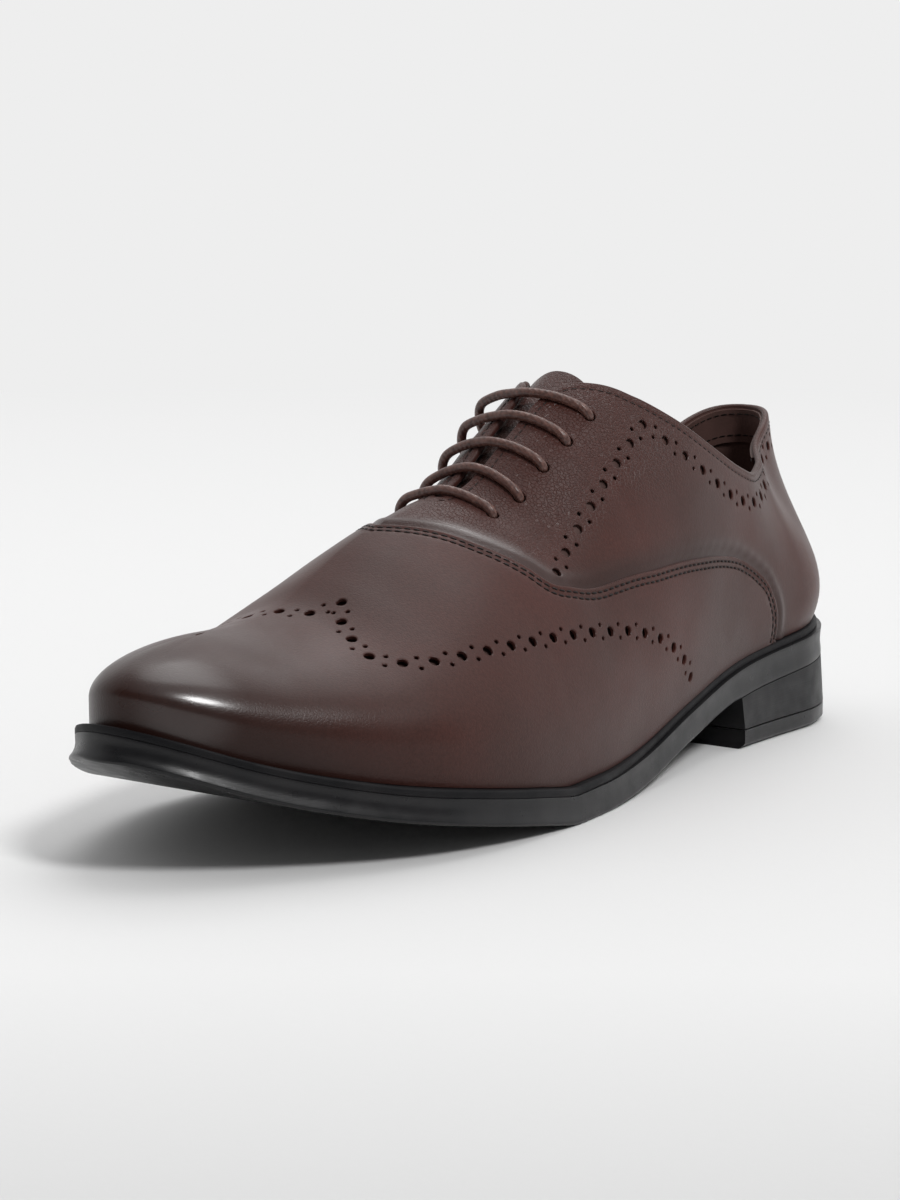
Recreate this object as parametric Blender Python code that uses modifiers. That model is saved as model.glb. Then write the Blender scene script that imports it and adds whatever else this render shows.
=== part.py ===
"""A wingtip oxford dress shoe, left foot, standing empty on its sole.

Metres, +Z up, floor at Z = 0. The toe points to -Y and the wearer's outer side is +X.
Lengths along the shoe are kept as shares of the sole length, from 0 at the heel to 1 at the toe.
"""
import bisect
import math

import bmesh
import bpy
from mathutils import Matrix, Vector

MM = 0.001

# Driving sizes of the last
SOLE_LENGTH = 304 * MM
BALL_WIDTH = 105 * MM
INSTEP_HEIGHT = 113 * MM
BACK_HEIGHT = 96 * MM
COLLAR_DIP_OUTER = 18 * MM
COLLAR_DIP_INNER = 14 * MM
PINCH_HEIGHT = 45 * MM

# Sole unit
HEEL_HEIGHT = 22.3 * MM
TOE_SPRING = 29 * MM
SOLE_EDGE = 8.8 * MM
SOLE_FLARE = 1.6 * MM
SOLE_CHAMFER = 0.9 * MM
BELLY_HEIGHT = 0.45
BELLY_FLARE = 0.4
WELT_MARGIN = 4.5 * MM
WELT_THICKNESS = 2.2 * MM
WELT_INSET = 1.5 * MM
INSOLE_PROUD = 1.6 * MM
HEEL_LENGTH = 74 * MM
HEEL_FLARE = 0.8 * MM
LIFT_THICKNESS = 5.5 * MM
LIFT_CHAMFER = 1.5 * MM

# Upper
UPPER_WALL = 2.0 * MM
VAMP_STEP = 0.9 * MM
VAMP_ROOT = 0.5 * MM
VAMP_START = math.radians(-80)
SLAB_MARGIN = 0.08 * SOLE_LENGTH
CLEARANCE = 0.3 * MM

# Lacing: the slit's two ends as shares of the sole length, and the rows of holes beside it
SLIT_FRONT = 0.575
SLIT_BACK = 0.421
SLIT_WIDTH_FRONT = 5.0 * MM
SLIT_WIDTH_BACK = 10.0 * MM
LACE_ROWS = 5
LACE_FRONT = 0.570
LACE_BACK = 0.434
LACE_INSET = 13.4 * MM
LACE_HOLE_DIAMETER = 3.7 * MM
LACE_DIAMETER = 2.7 * MM
LACE_ARCH = 1.2 * MM
LACE_LIFT = 0.1 * MM
# Where a bar leaves its hole: places out of the surface and along the bar, in lace radii
LACE_BEND = ((-0.3, 0.0), (0.4, 0.0), (1.1, 0.5))
# Further places along a bar, as shares of the way to its middle
LACE_SHARES = (0.12, 0.3, 0.5, 0.75)
TONGUE_FRONT = 0.66
TONGUE_STAND = 9.0 * MM
TONGUE_WIDTH_FRONT = 30 * MM
TONGUE_WIDTH_BACK = 44 * MM
TONGUE_THICKNESS = 1.8 * MM
TONGUE_GAP = 0.9 * MM

# Shares of the sole length that the round ends of the outline take
HEEL_ROUND = 0.118
TOE_ROUND = 0.24

# Outer side first
SIDES = (1, -1)

# Fineness: sections round the heel, along the middle and round the toe
UPPER_STEPS = (9, 22, 15)
SOLE_STEPS = (9, 18, 14)
HEEL_STEPS = (8, 3, 0)
# Rows of each section under and over its bulge
ROWS_UNDER = 4
ROWS_OVER = 10
# Extra sections before and after the one that ends in the facing's corner, and how far they reach
CORNER_STEPS = (-0.018, -0.010, -0.005, -0.001, 0.002, 0.012)
CORNER_REACH = 0.020
# Extra sections beside the slit's front end
SLIT_STEPS = (-0.001, 0.003)
SLIT_REACH = 0.008
TONGUE_ROWS = 12
TONGUE_COLUMNS = 10
HOLE_SIDES = 12


class Table:
    """Rows of numbers under named columns, read as a smooth curve along the first column."""

    def __init__(self, names, rows):
        names = names.split()
        self.places = [row[0] for row in rows]
        self.gaps = [after - before for before, after in zip(self.places, self.places[1:])]
        self.values = {name: [row[i] for row in rows] for i, name in enumerate(names)}
        self.leans = {name: self.lean(values) for name, values in self.values.items()}

    def lean(self, values):
        """The curve's slope at each row."""
        slopes = [(b - a) / gap for a, b, gap in zip(values, values[1:], self.gaps)]
        leans = [slopes[0]]
        for i in range(1, len(slopes)):
            before, after = self.gaps[i - 1], self.gaps[i]
            leans.append((slopes[i - 1] * after + slopes[i] * before) / (before + after))
        return leans + [slopes[-1]]

    def read(self, name, at):
        """The column's value where the first column is at."""
        x = min(max(at, self.places[0]), self.places[-1])
        i = min(max(bisect.bisect_right(self.places, x) - 1, 0), len(self.gaps) - 1)
        gap = self.gaps[i]
        t = (x - self.places[i]) / gap
        values = self.values[name]
        leans = self.leans[name]
        curve = (1 + 2 * t) * (1 - t) ** 2 * values[i] + t * t * (3 - 2 * t) * values[i + 1]
        return curve + gap * (t * (1 - t) ** 2 * leans[i] - t * t * (1 - t) * leans[i + 1])


# Outline of the outsole: half widths as shares of BALL_WIDTH, margin of WELT_MARGIN,
# welt of WELT_INSET and flare of SOLE_FLARE
PLAN = Table("at outer inner margin welt flare", [
    (0.00, 0.312, 0.312, 0.55, 0.80, 0.00),
    (0.12, 0.309, 0.301, 0.55, 0.80, 0.00),
    (0.25, 0.325, 0.275, 0.55, 0.80, 0.00),
    (0.36, 0.372, 0.266, 0.60, 0.80, 0.05),
    (0.46, 0.424, 0.318, 0.70, 0.70, 0.15),
    (0.56, 0.477, 0.408, 0.78, 0.45, 0.40),
    (0.64, 0.502, 0.470, 0.80, 0.35, 0.55),
    (0.70, 0.502, 0.495, 0.80, 0.30, 0.60),
    (0.76, 0.479, 0.492, 0.82, 0.30, 0.70),
    (0.84, 0.419, 0.455, 0.90, 0.30, 0.85),
    (0.92, 0.351, 0.415, 0.96, 0.30, 0.95),
    (1.00, 0.314, 0.400, 1.00, 0.30, 1.00),
])

# Side view of the sole: shares of HEEL_HEIGHT, TOE_SPRING and SOLE_EDGE
SIDE = Table("at heel spring edge", [
    (0.00, 1.000, 0.00, 1.25),
    (0.12, 0.855, 0.00, 1.22),
    (0.24, 0.700, 0.00, 1.20),
    (0.36, 0.390, 0.00, 1.18),
    (0.48, 0.065, 0.00, 1.17),
    (0.545, 0.00, 0.00, 1.15),
    (0.61, 0.000, 0.00, 1.12),
    (0.66, 0.000, 0.087, 1.09),
    (0.74, 0.000, 0.227, 1.05),
    (0.84, 0.000, 0.420, 1.03),
    (0.92, 0.000, 0.650, 1.05),
    (1.00, 0.000, 1.00, 1.05),
])

# Ridge line over the foot: height as a share of INSTEP_HEIGHT, sway to the outer side of BALL_WIDTH
RIDGE = Table("at height sway", [
    (0.13, 1.300, 0.000),
    (0.25, 1.250, 0.000),
    (0.38, 1.060, 0.000),
    (0.44, 0.962, 0.000),
    (0.50, 0.849, 0.000),
    (0.56, 0.742, -0.004),
    (0.60, 0.710, -0.024),
    (0.64, 0.674, -0.048),
    (0.68, 0.626, -0.070),
    (0.72, 0.566, -0.084),
    (0.76, 0.508, -0.090),
    (0.80, 0.483, -0.088),
    (0.87, 0.478, -0.076),
])

# Cross sections, one for each place on the feather line: where its top meets the ridge,
# how far its bulge hangs over the feather (outer and inner), how far the wall above the bulge is
# drawn in and leans to the inner side (shares of BALL_WIDTH), how high the bulge lies over the
# feather (share of INSTEP_HEIGHT), and the roundness exponents in plan, on each side, and in height
SECTION = Table("at crest outer inner pinch lean bulge round_outer round_inner round_side", [
    (0.00, 0.150, 0.022, 0.022, 0.044, 0.040, 0.085, 2.00, 2.00, 2.00),
    (0.05, 0.165, 0.022, 0.022, 0.138, 0.032, 0.085, 2.00, 2.00, 2.00),
    (0.12, 0.200, 0.024, 0.024, 0.092, 0.018, 0.100, 2.00, 2.00, 2.00),
    (0.20, 0.260, 0.030, 0.036, 0.036, 0.006, 0.150, 2.00, 2.00, 2.00),
    (0.30, 0.360, 0.030, 0.055, 0.000, 0.000, 0.190, 2.00, 2.00, 2.00),
    (0.40, 0.470, 0.025, 0.050, 0.000, 0.000, 0.180, 2.00, 2.00, 2.00),
    (0.50, 0.560, 0.015, 0.030, 0.000, 0.000, 0.140, 1.85, 1.75, 1.95),
    (0.60, 0.640, 0.008, 0.012, 0.000, 0.000, 0.110, 1.80, 1.40, 1.90),
    (0.70, 0.700, 0.006, 0.006, 0.000, 0.000, 0.095, 1.80, 1.30, 1.90),
    (0.80, 0.750, 0.005, 0.005, 0.000, 0.000, 0.085, 1.90, 1.50, 1.95),
    (0.90, 0.800, 0.003, 0.002, 0.000, 0.000, 0.075, 1.98, 1.80, 2.05),
    (1.00, 0.870, 0.000, 0.000, 0.000, 0.000, 0.070, 1.95, 1.95, 2.00),
])

# Topline in side view: rise is a share of the climb from the back to the instep, dip of the collar's dip
TOPLINE = Table("at rise dip", [
    (0.00, 0.00, 0.00),
    (0.04, 0.00, 0.03),
    (0.08, 0.00, 0.29),
    (0.13, 0.00, 0.74),
    (0.18, 0.02, 0.93),
    (0.22, 0.10, 0.86),
    (0.28, 0.33, 0.66),
    (0.34, 0.66, 0.42),
    (0.39, 0.90, 0.19),
    (0.42, 0.98, 0.05),
    (0.45, 1.10, 0.00),
])

# Seam where the vamp laps over the quarters, in side view from the welt near the heel
# to the ridge: shares of the sole length and of INSTEP_HEIGHT
VAMP_SEAM = [
    (0.158, 0.150), (0.164, 0.240), (0.171, 0.308), (0.179, 0.361), (0.192, 0.410),
    (0.216, 0.458), (0.254, 0.503), (0.300, 0.527), (0.355, 0.535), (0.420, 0.531),
    (0.500, 0.517), (0.545, 0.519), (0.572, 0.536), (0.588, 0.575), (0.607, 0.615),
    (0.622, 0.645), (0.640, 0.662), (0.665, 0.690),
]


def outline(at, side, grow_back=0.0, grow_side=0.0, grow_front=0.0):
    """A point (x, s) of the outsole's outline, moved out by the three amounts."""
    outer = PLAN.read("outer", at) * BALL_WIDTH
    inner = PLAN.read("inner", at) * BALL_WIDTH
    swing = (outer - inner) / 2
    half = (outer + inner) / 2 + grow_side
    back = max((HEEL_ROUND - at) / HEEL_ROUND, 0)
    front = max((at - (1 - TOE_ROUND)) / TOE_ROUND, 0)
    ends = math.sqrt(max(1 - back ** 2, 0) * max(1 - front ** 2, 0))
    length = SOLE_LENGTH + grow_back + grow_front
    return swing + side * half * ends, at * length - grow_back


def grown(at, side, grow):
    """The outline moved out by the same amount all round."""
    return outline(at, side, grow, grow, grow)


def feather(at, side, inset=0.0):
    """A point (x, s) of the line where the upper meets the welt, moved in by inset."""
    margin = PLAN.read("margin", at) * WELT_MARGIN
    back = PLAN.read("margin", 0.0) * WELT_MARGIN
    front = PLAN.read("margin", 1.0) * WELT_MARGIN
    return outline(at, side, -back - inset, -margin - inset, -front - inset)


def underside(s):
    """Height of the outsole's underside at the distance s from the heel."""
    at = s / SOLE_LENGTH
    heel = max(SIDE.read("heel", at), 0) * HEEL_HEIGHT
    return heel + max(SIDE.read("spring", at), 0) * TOE_SPRING


def sole_top(s):
    """Height of the welt's top, on which the upper stands."""
    return underside(s) + SIDE.read("edge", s / SOLE_LENGTH) * SOLE_EDGE


def ridge(s):
    """Point (x, z) of the ridge line at the distance s from the heel."""
    at = s / SOLE_LENGTH
    return RIDGE.read("sway", at) * BALL_WIDTH, RIDGE.read("height", at) * INSTEP_HEIGHT


def surface(at, turn, side):
    """Outer surface of the upper: turn runs from -90 degrees at the feather to 90 at the ridge."""
    foot_x, foot_s = feather(at, side)
    foot_z = sole_top(foot_s) + CLEARANCE
    crest_s = SECTION.read("crest", at) * SOLE_LENGTH
    crest_x, crest_z = ridge(crest_s)
    reach = math.hypot(foot_x - crest_x, foot_s - crest_s)
    hand = "outer" if side > 0 else "inner"
    widest = 1 + SECTION.read(hand, at) * BALL_WIDTH / reach
    bulge_z = foot_z + SECTION.read("bulge", at) * INSTEP_HEIGHT
    if turn <= 0:
        spread = 1 + (widest - 1) * math.cos(turn) ** 2
        z = bulge_z + (bulge_z - foot_z) * math.sin(turn)
    else:
        spread = widest * max(math.cos(turn), 0.0) ** (2 / SECTION.read("round_" + hand, at))
        z = bulge_z + (crest_z - bulge_z) * math.sin(turn) ** (2 / SECTION.read("round_side", at))
        drawn = math.sin(math.pi / 2 * min((z - bulge_z) / PINCH_HEIGHT, 1)) ** 2
        spread -= SECTION.read("pinch", at) * BALL_WIDTH / reach * drawn * math.cos(turn)
    x = crest_x + (foot_x - crest_x) * spread
    s = crest_s + (foot_s - crest_s) * spread
    if turn > 0:
        step = 1 * MM
        slope = (ridge(crest_s + step)[1] - ridge(crest_s - step)[1]) / (2 * step)
        z += slope * (s - crest_s) * math.sin(turn) ** 2
        x -= SECTION.read("lean", at) * BALL_WIDTH * drawn
    return x, s, z


def topline(s, side):
    """Height of the collar's edge in side view."""
    at = s / SOLE_LENGTH
    dip = COLLAR_DIP_OUTER if side > 0 else COLLAR_DIP_INNER
    climb = (INSTEP_HEIGHT - BACK_HEIGHT) * TOPLINE.read("rise", at)
    return BACK_HEIGHT + climb - dip * TOPLINE.read("dip", at)


def slit_half(s):
    """Half width of the lacing slit at the distance s from the heel."""
    share = (SLIT_FRONT - s / SOLE_LENGTH) / (SLIT_FRONT - SLIT_BACK)
    return (SLIT_WIDTH_FRONT + (SLIT_WIDTH_BACK - SLIT_WIDTH_FRONT) * share) / 2


def cut_away(point, side):
    """True where the upper is open: over the topline or inside the lacing slit."""
    x, s, z = point
    at = s / SOLE_LENGTH
    if at < SLIT_BACK + 0.02 and z > topline(s, side):
        return True
    return SLIT_BACK <= at <= SLIT_FRONT and abs(x - ridge(s)[0]) < slit_half(s)


def last_turn(at, side):
    """The turn at which a section meets the topline or the slit, or 90 degrees on the ridge."""
    steps = 90
    for i in range(1, steps + 1):
        high = math.pi / 2 * i / steps
        if cut_away(surface(at, high, side), side):
            low = high - math.pi / 2 / steps
            for _ in range(20):
                middle = (low + high) / 2
                if cut_away(surface(at, middle, side), side):
                    high = middle
                else:
                    low = middle
            return low
    return math.pi / 2


def on_surface(x, s):
    """The section and turn at which the upper's outer surface passes over (x, s)."""
    side = 1 if x >= ridge(s)[0] else -1
    low, high = 0.02, 0.98
    for _ in range(30):
        at = (low + high) / 2
        foot_x, foot_s = feather(at, side)
        crest_s = SECTION.read("crest", at) * SOLE_LENGTH
        crest_x = ridge(crest_s)[0]
        cross = (foot_x - crest_x) * (s - crest_s) - (foot_s - crest_s) * (x - crest_x)
        if cross * side > 0:
            low = at
        else:
            high = at
    wanted = math.hypot(x - crest_x, s - crest_s)
    low, high = 0.0, math.pi / 2
    for _ in range(30):
        turn = (low + high) / 2
        px, ps, _ = surface(at, turn, side)
        if math.hypot(px - crest_x, ps - crest_s) > wanted:
            low = turn
        else:
            high = turn
    return at, turn, side


def height_at(x, s):
    """Height of the upper's outer surface over (x, s)."""
    return surface(*on_surface(x, s))[2]


def outward_normal(x, s):
    """Unit normal of the upper's outer surface over (x, s), in world axes."""
    step = 0.5 * MM
    lean_x = (height_at(x + step, s) - height_at(x - step, s)) / (2 * step)
    lean_s = (height_at(x, s + step) - height_at(x, s - step)) / (2 * step)
    return Vector((-lean_x, lean_s, 1)).normalized()


# Meshes from the form

def sole_rim(at, side):
    """A point (x, s) of the outsole's outermost line, just over the floor."""
    return grown(at, side, PLAN.read("flare", at) * SOLE_FLARE)


RIM_X = [sole_rim(i / 100, side)[0] for i in range(101) for side in SIDES]
MIDDLE_X = (min(RIM_X) + max(RIM_X)) / 2
MIDDLE_S = (SOLE_LENGTH + SOLE_FLARE - HEEL_FLARE) / 2


def place(x, s, z):
    """World point; the origin lies on the floor under the middle of the shoe."""
    return Vector((x - MIDDLE_X, MIDDLE_S - s, z))


def stations(steps, end=1 - TOE_ROUND):
    """Shares of the length, closely spaced where the outline turns round its ends."""
    heel_steps, middle_steps, toe_steps = steps
    quarter = math.pi / 2
    ats = [HEEL_ROUND * (1 - math.cos(quarter * i / heel_steps)) for i in range(heel_steps + 1)]
    gap = (end - HEEL_ROUND) / middle_steps
    ats += [HEEL_ROUND + gap * i for i in range(1, middle_steps + 1)]
    return ats + [end + TOE_ROUND * math.sin(quarter * i / toe_steps) for i in range(1, toe_steps + 1)]


def new_object(name, mesh, collection):
    """Link a mesh as an object, shaded smooth but for its sharp edges."""
    made = bpy.data.objects.new(name, mesh)
    collection.objects.link(made)
    mesh.shade_smooth()
    mesh.set_sharp_from_angle(angle=math.radians(40))
    return made


def closed_loop(ats, edge):
    """Points once round an outline: up the outer side and back along the inner one."""
    outer = [edge(at, 1) for at in ats]
    inner = [edge(at, -1) for at in ats]
    tip_shared = abs(outer[-1][0] - inner[-1][0]) < 0.01 * MM
    return outer + list(reversed(inner[1:-1] if tip_shared else inner[1:]))


def stacked_body(name, levels, collection):
    """A body whose walls join the levels, each the same closed loop at another size and height."""
    bm = bmesh.new()
    rings = [[bm.verts.new(place(*point)) for point in level] for level in levels]
    count = len(levels[0])
    for below, above in zip(rings, rings[1:]):
        for i in range(count):
            j = (i + 1) % count
            bm.faces.new((below[i], above[i], above[j], below[j]))
    for ring in (rings[0], rings[-1]):
        i, j = 1, count - 1
        bm.faces.new((ring[0], ring[i], ring[j]))
        while j - i > 2:
            bm.faces.new((ring[i], ring[i + 1], ring[j - 1], ring[j]))
            i, j = i + 1, j - 1
        if j - i == 2:
            bm.faces.new((ring[i], ring[i + 1], ring[j]))
    bmesh.ops.recalc_face_normals(bm, faces=bm.faces)
    mesh = bpy.data.meshes.new(name)
    bm.to_mesh(mesh)
    bm.free()
    return new_object(name, mesh, collection)


def ring_body(name, levels, collection):
    """A ring whose four walls join the levels in turn, the last one back to the first."""
    bm = bmesh.new()
    rings = [[bm.verts.new(place(*point)) for point in level] for level in levels]
    count = len(levels[0])
    for below, above in zip(rings, rings[1:] + rings[:1]):
        for i in range(count):
            j = (i + 1) % count
            bm.faces.new((below[i], above[i], above[j], below[j]))
    bmesh.ops.recalc_face_normals(bm, faces=bm.faces)
    mesh = bpy.data.meshes.new(name)
    bm.to_mesh(mesh)
    bm.free()
    return new_object(name, mesh, collection)


def sheet_mesh(grid):
    """A sheet from rows of world points that run from the inner to the outer side, toe to heel."""
    bm = bmesh.new()
    rows = [[bm.verts.new(point) for point in row] for row in grid]
    for a, b in zip(rows, rows[1:]):
        for i in range(len(a) - 1):
            bm.faces.new((a[i], a[i + 1], b[i + 1], b[i]))
    return bm


def add_boolean(target, cutter, operation):
    """Cut target with another object, or join the two."""
    modifier = target.modifiers.new(cutter.name, "BOOLEAN")
    modifier.operation = operation
    modifier.solver = "EXACT"
    modifier.object = cutter


def hide_cutter(cutter):
    """Mark an object as a helper that is not part of the shoe."""
    cutter.hide_render = True
    cutter.display_type = "WIRE"


def upper_sheet(name, ats_of, start, trimmed):
    """The upper's outer surface as one welded sheet, trimmed at the topline and slit or whole."""
    bm = bmesh.new()
    for side in SIDES:
        columns = []
        for at in ats_of[side]:
            end = last_turn(at, side if at > 0 else 1) if trimmed else math.pi / 2
            turns = [start * (1 - i / ROWS_UNDER) for i in range(ROWS_UNDER)]
            turns += [end * i / ROWS_OVER for i in range(ROWS_OVER + 1)]
            columns.append([bm.verts.new(place(*surface(at, turn, side))) for turn in turns])
        for a, b in zip(columns, columns[1:]):
            for i in range(len(a) - 1):
                corners = (a[i], a[i + 1], b[i + 1], b[i])
                bm.faces.new(corners if side > 0 else tuple(reversed(corners)))
    bmesh.ops.remove_doubles(bm, verts=bm.verts, dist=0.02 * MM)
    bmesh.ops.dissolve_degenerate(bm, edges=bm.edges, dist=0.01 * MM)
    mesh = bpy.data.meshes.new(name)
    bm.to_mesh(mesh)
    bm.free()
    return mesh


def thicken(target, outside, inside):
    """Give a sheet a wall that reaches outside and inside of its surface."""
    solid = target.modifiers.new("wall", "SOLIDIFY")
    solid.thickness = outside + inside
    solid.offset = 2 * outside / (outside + inside) - 1


def crest_station(share):
    """The section whose top meets the ridge at this share of the sole length."""
    low, high = 0.0, 1.0
    for _ in range(30):
        middle = (low + high) / 2
        if SECTION.read("crest", middle) < share:
            low = middle
        else:
            high = middle
    return low


def facing_corner(side):
    """The section that ends in the facing's top corner, where topline and slit meet."""
    low, high = 0.2, crest_station(SLIT_FRONT)
    for _ in range(30):
        middle = (low + high) / 2
        x, s, _ = surface(middle, last_turn(middle, side), side)
        if abs(x - ridge(s)[0]) > slit_half(s) + 0.1 * MM:
            low = middle
        else:
            high = middle
    return high


def seam_prism(cutters):
    """Everything on the vamp's side of its seam, as a slab across the shoe."""
    reach = BALL_WIDTH
    points = [(at * SOLE_LENGTH, height * INSTEP_HEIGHT) for at, height in VAMP_SEAM]
    top = INSTEP_HEIGHT + SLAB_MARGIN
    front = SOLE_LENGTH + SLAB_MARGIN
    points += [(points[-1][0] + SLAB_MARGIN / 2, top), (front, top), (front, -top), (points[0][0], -top)]
    bm = bmesh.new()
    face = bm.faces.new([bm.verts.new(place(-reach, s, z)) for s, z in points])
    grown_part = bmesh.ops.extrude_face_region(bm, geom=[face])
    moved = [item for item in grown_part["geom"] if isinstance(item, bmesh.types.BMVert)]
    bmesh.ops.translate(bm, verts=moved, vec=(2 * reach, 0, 0))
    bmesh.ops.recalc_face_normals(bm, faces=bm.faces)
    mesh = bpy.data.meshes.new("vamp_side")
    bm.to_mesh(mesh)
    bm.free()
    prism = new_object("vamp_side", mesh, cutters)
    hide_cutter(prism)
    return prism


def lace_places():
    """The holes' places (x, s) for each row, outer side first."""
    rows = []
    for row in range(LACE_ROWS):
        at = LACE_FRONT + (LACE_BACK - LACE_FRONT) * row / (LACE_ROWS - 1)
        s = at * SOLE_LENGTH
        out = slit_half(s) + LACE_INSET
        rows.append([(ridge(s)[0] + side * out, s) for side in SIDES])
    return rows


def lace_hole_cutter(cutters):
    """Ten round cutters square to the facings."""
    bm = bmesh.new()
    for row in lace_places():
        for x, s in row:
            axis = outward_normal(x, s)
            turned = axis.to_track_quat("Z", "Y").to_matrix().to_4x4()
            centre = place(x, s, height_at(x, s))
            bmesh.ops.create_cone(bm, cap_ends=True, segments=HOLE_SIDES, radius1=LACE_HOLE_DIAMETER / 2,
                                  radius2=LACE_HOLE_DIAMETER / 2, depth=6 * UPPER_WALL,
                                  matrix=Matrix.Translation(centre) @ turned)
    mesh = bpy.data.meshes.new("lace_holes")
    bm.to_mesh(mesh)
    bm.free()
    holes = new_object("lace_holes", mesh, cutters)
    hide_cutter(holes)
    return holes


def build_upper(parts, cutters):
    """The hollow upper: wall, raised vamp and lace holes."""
    front = crest_station(SLIT_FRONT)
    ats_of = {}
    for side in SIDES:
        corner = facing_corner(side)
        ats = [at for at in stations(UPPER_STEPS)
               if abs(at - front) > SLIT_REACH and abs(at - corner) > CORNER_REACH]
        ats += [front + away for away in SLIT_STEPS]
        ats += [corner + away for away in CORNER_STEPS]
        ats_of[side] = sorted(ats)
    upper = new_object("upper", upper_sheet("upper", ats_of, -math.pi / 2, True), parts)
    thicken(upper, 0, UPPER_WALL)
    whole = {side: stations(UPPER_STEPS) for side in SIDES}
    vamp = new_object("vamp_over", upper_sheet("vamp_over", whole, VAMP_START, False), cutters)
    thicken(vamp, VAMP_STEP, VAMP_ROOT)
    add_boolean(vamp, seam_prism(cutters), "INTERSECT")
    hide_cutter(vamp)
    add_boolean(upper, vamp, "UNION")
    add_boolean(upper, lace_hole_cutter(cutters), "DIFFERENCE")
    return upper


def build_tongue(parts):
    """The tongue, under the facings and a little past them."""
    back = SLIT_BACK * SOLE_LENGTH - TONGUE_STAND
    front = TONGUE_FRONT * SOLE_LENGTH
    rows, columns = TONGUE_ROWS, TONGUE_COLUMNS
    depth = UPPER_WALL + TONGUE_GAP
    grid = []
    for i in range(rows + 1):
        s = front + (back - front) * i / rows
        half = (TONGUE_WIDTH_FRONT + (TONGUE_WIDTH_BACK - TONGUE_WIDTH_FRONT) * i / rows) / 2
        line = []
        for j in range(columns + 1):
            x = ridge(s)[0] + half * (2 * j / columns - 1)
            line.append(place(x, s, height_at(x, s)) - outward_normal(x, s) * depth)
        grid.append(line)
    bm = sheet_mesh(grid)
    mesh = bpy.data.meshes.new("tongue")
    bm.to_mesh(mesh)
    bm.free()
    tongue = new_object("tongue", mesh, parts)
    thicken(tongue, 0, TONGUE_THICKNESS)
    return tongue


def lace_route(row):
    """Middle line of one bar, from inside its outer hole over the slit and into its inner hole."""
    radius = LACE_DIAMETER / 2
    resting = radius + CLEARANCE + LACE_LIFT
    (outer_x, s), (inner_x, _) = row
    middle_x = (outer_x + inner_x) / 2
    points = []
    for end_x, towards in ((outer_x, -1), (inner_x, 1)):
        normal = outward_normal(end_x, s)
        hole = place(end_x, s, height_at(end_x, s))
        across = Vector((towards, 0, 0))
        across = (across - normal * across.dot(normal)).normalized()
        line = [hole - normal * UPPER_WALL]
        line += [hole + (normal * out + across * along) * radius for out, along in LACE_BEND]
        for share in LACE_SHARES:
            x = end_x + (middle_x - end_x) * share
            lift = resting + LACE_ARCH * (1 - (1 - share) ** 2)
            line.append(place(x, s, height_at(x, s)) + outward_normal(x, s) * lift)
        points.append(line)
    top = place(middle_x, s, height_at(middle_x, s)) + outward_normal(middle_x, s) * (resting + LACE_ARCH)
    return points[0] + [top] + list(reversed(points[1]))


def build_lace_bar(number, row, parts):
    """One round lace bar, as a thick line."""
    route = lace_route(row)
    curve = bpy.data.curves.new("lace_bar_%d" % number, "CURVE")
    curve.dimensions = "3D"
    curve.bevel_depth = LACE_DIAMETER / 2
    curve.bevel_resolution = 2
    curve.use_fill_caps = True
    spline = curve.splines.new("POLY")
    spline.points.add(len(route) - 1)
    for knot, point in zip(spline.points, route):
        knot.co = (*point, 1)
    bar = bpy.data.objects.new("lace_bar_%d" % number, curve)
    parts.objects.link(bar)
    return bar


def build_outsole(parts):
    """The outsole: its edge leans out towards a small chamfer at the floor."""
    ats = stations(SOLE_STEPS)

    def level(flare, cut, height):
        def edge(at, side):
            grow = PLAN.read("flare", at) * SOLE_FLARE * flare - cut
            x, s = grown(at, side, grow)
            return x, s, height(s)
        return closed_loop(ats, edge)

    def top(s):
        return sole_top(s) - WELT_THICKNESS

    def middle(s):
        return underside(s) + (top(s) - underside(s)) * BELLY_HEIGHT

    return stacked_body("outsole", [
        level(0.0, SOLE_CHAMFER / 2, top),
        level(0.0, 0.0, lambda s: top(s) - SOLE_CHAMFER / 2),
        level(BELLY_FLARE, 0.0, middle),
        level(1.0, 0.0, lambda s: underside(s) + SOLE_CHAMFER),
        level(1.0, SOLE_CHAMFER, underside),
    ], parts)


def build_welt(parts):
    """The strip between outsole and upper."""
    ats = stations(SOLE_STEPS)

    def outer(at, side):
        x, s = grown(at, side, -PLAN.read("welt", at) * WELT_INSET)
        return x, s, sole_top(s)

    def inner(at, side):
        x, s = feather(at, side, UPPER_WALL)
        return x, s, sole_top(s)

    def lowered(edge):
        def low_edge(at, side):
            x, s, z = edge(at, side)
            return x, s, z - WELT_THICKNESS + CLEARANCE
        return low_edge

    return ring_body("welt", [closed_loop(ats, edge) for edge in
                              (lowered(outer), outer, inner, lowered(inner))], parts)


def build_insole(parts):
    """The board inside the welt, and the sock on it, as one piece."""
    ats = stations(SOLE_STEPS)

    def level(lift):
        def edge(at, side):
            x, s = feather(at, side, UPPER_WALL + 2 * CLEARANCE)
            return x, s, sole_top(s) + lift
        return closed_loop(ats, edge)

    return stacked_body("insole", [level(INSOLE_PROUD), level(CLEARANCE - WELT_THICKNESS)], parts)


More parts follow.
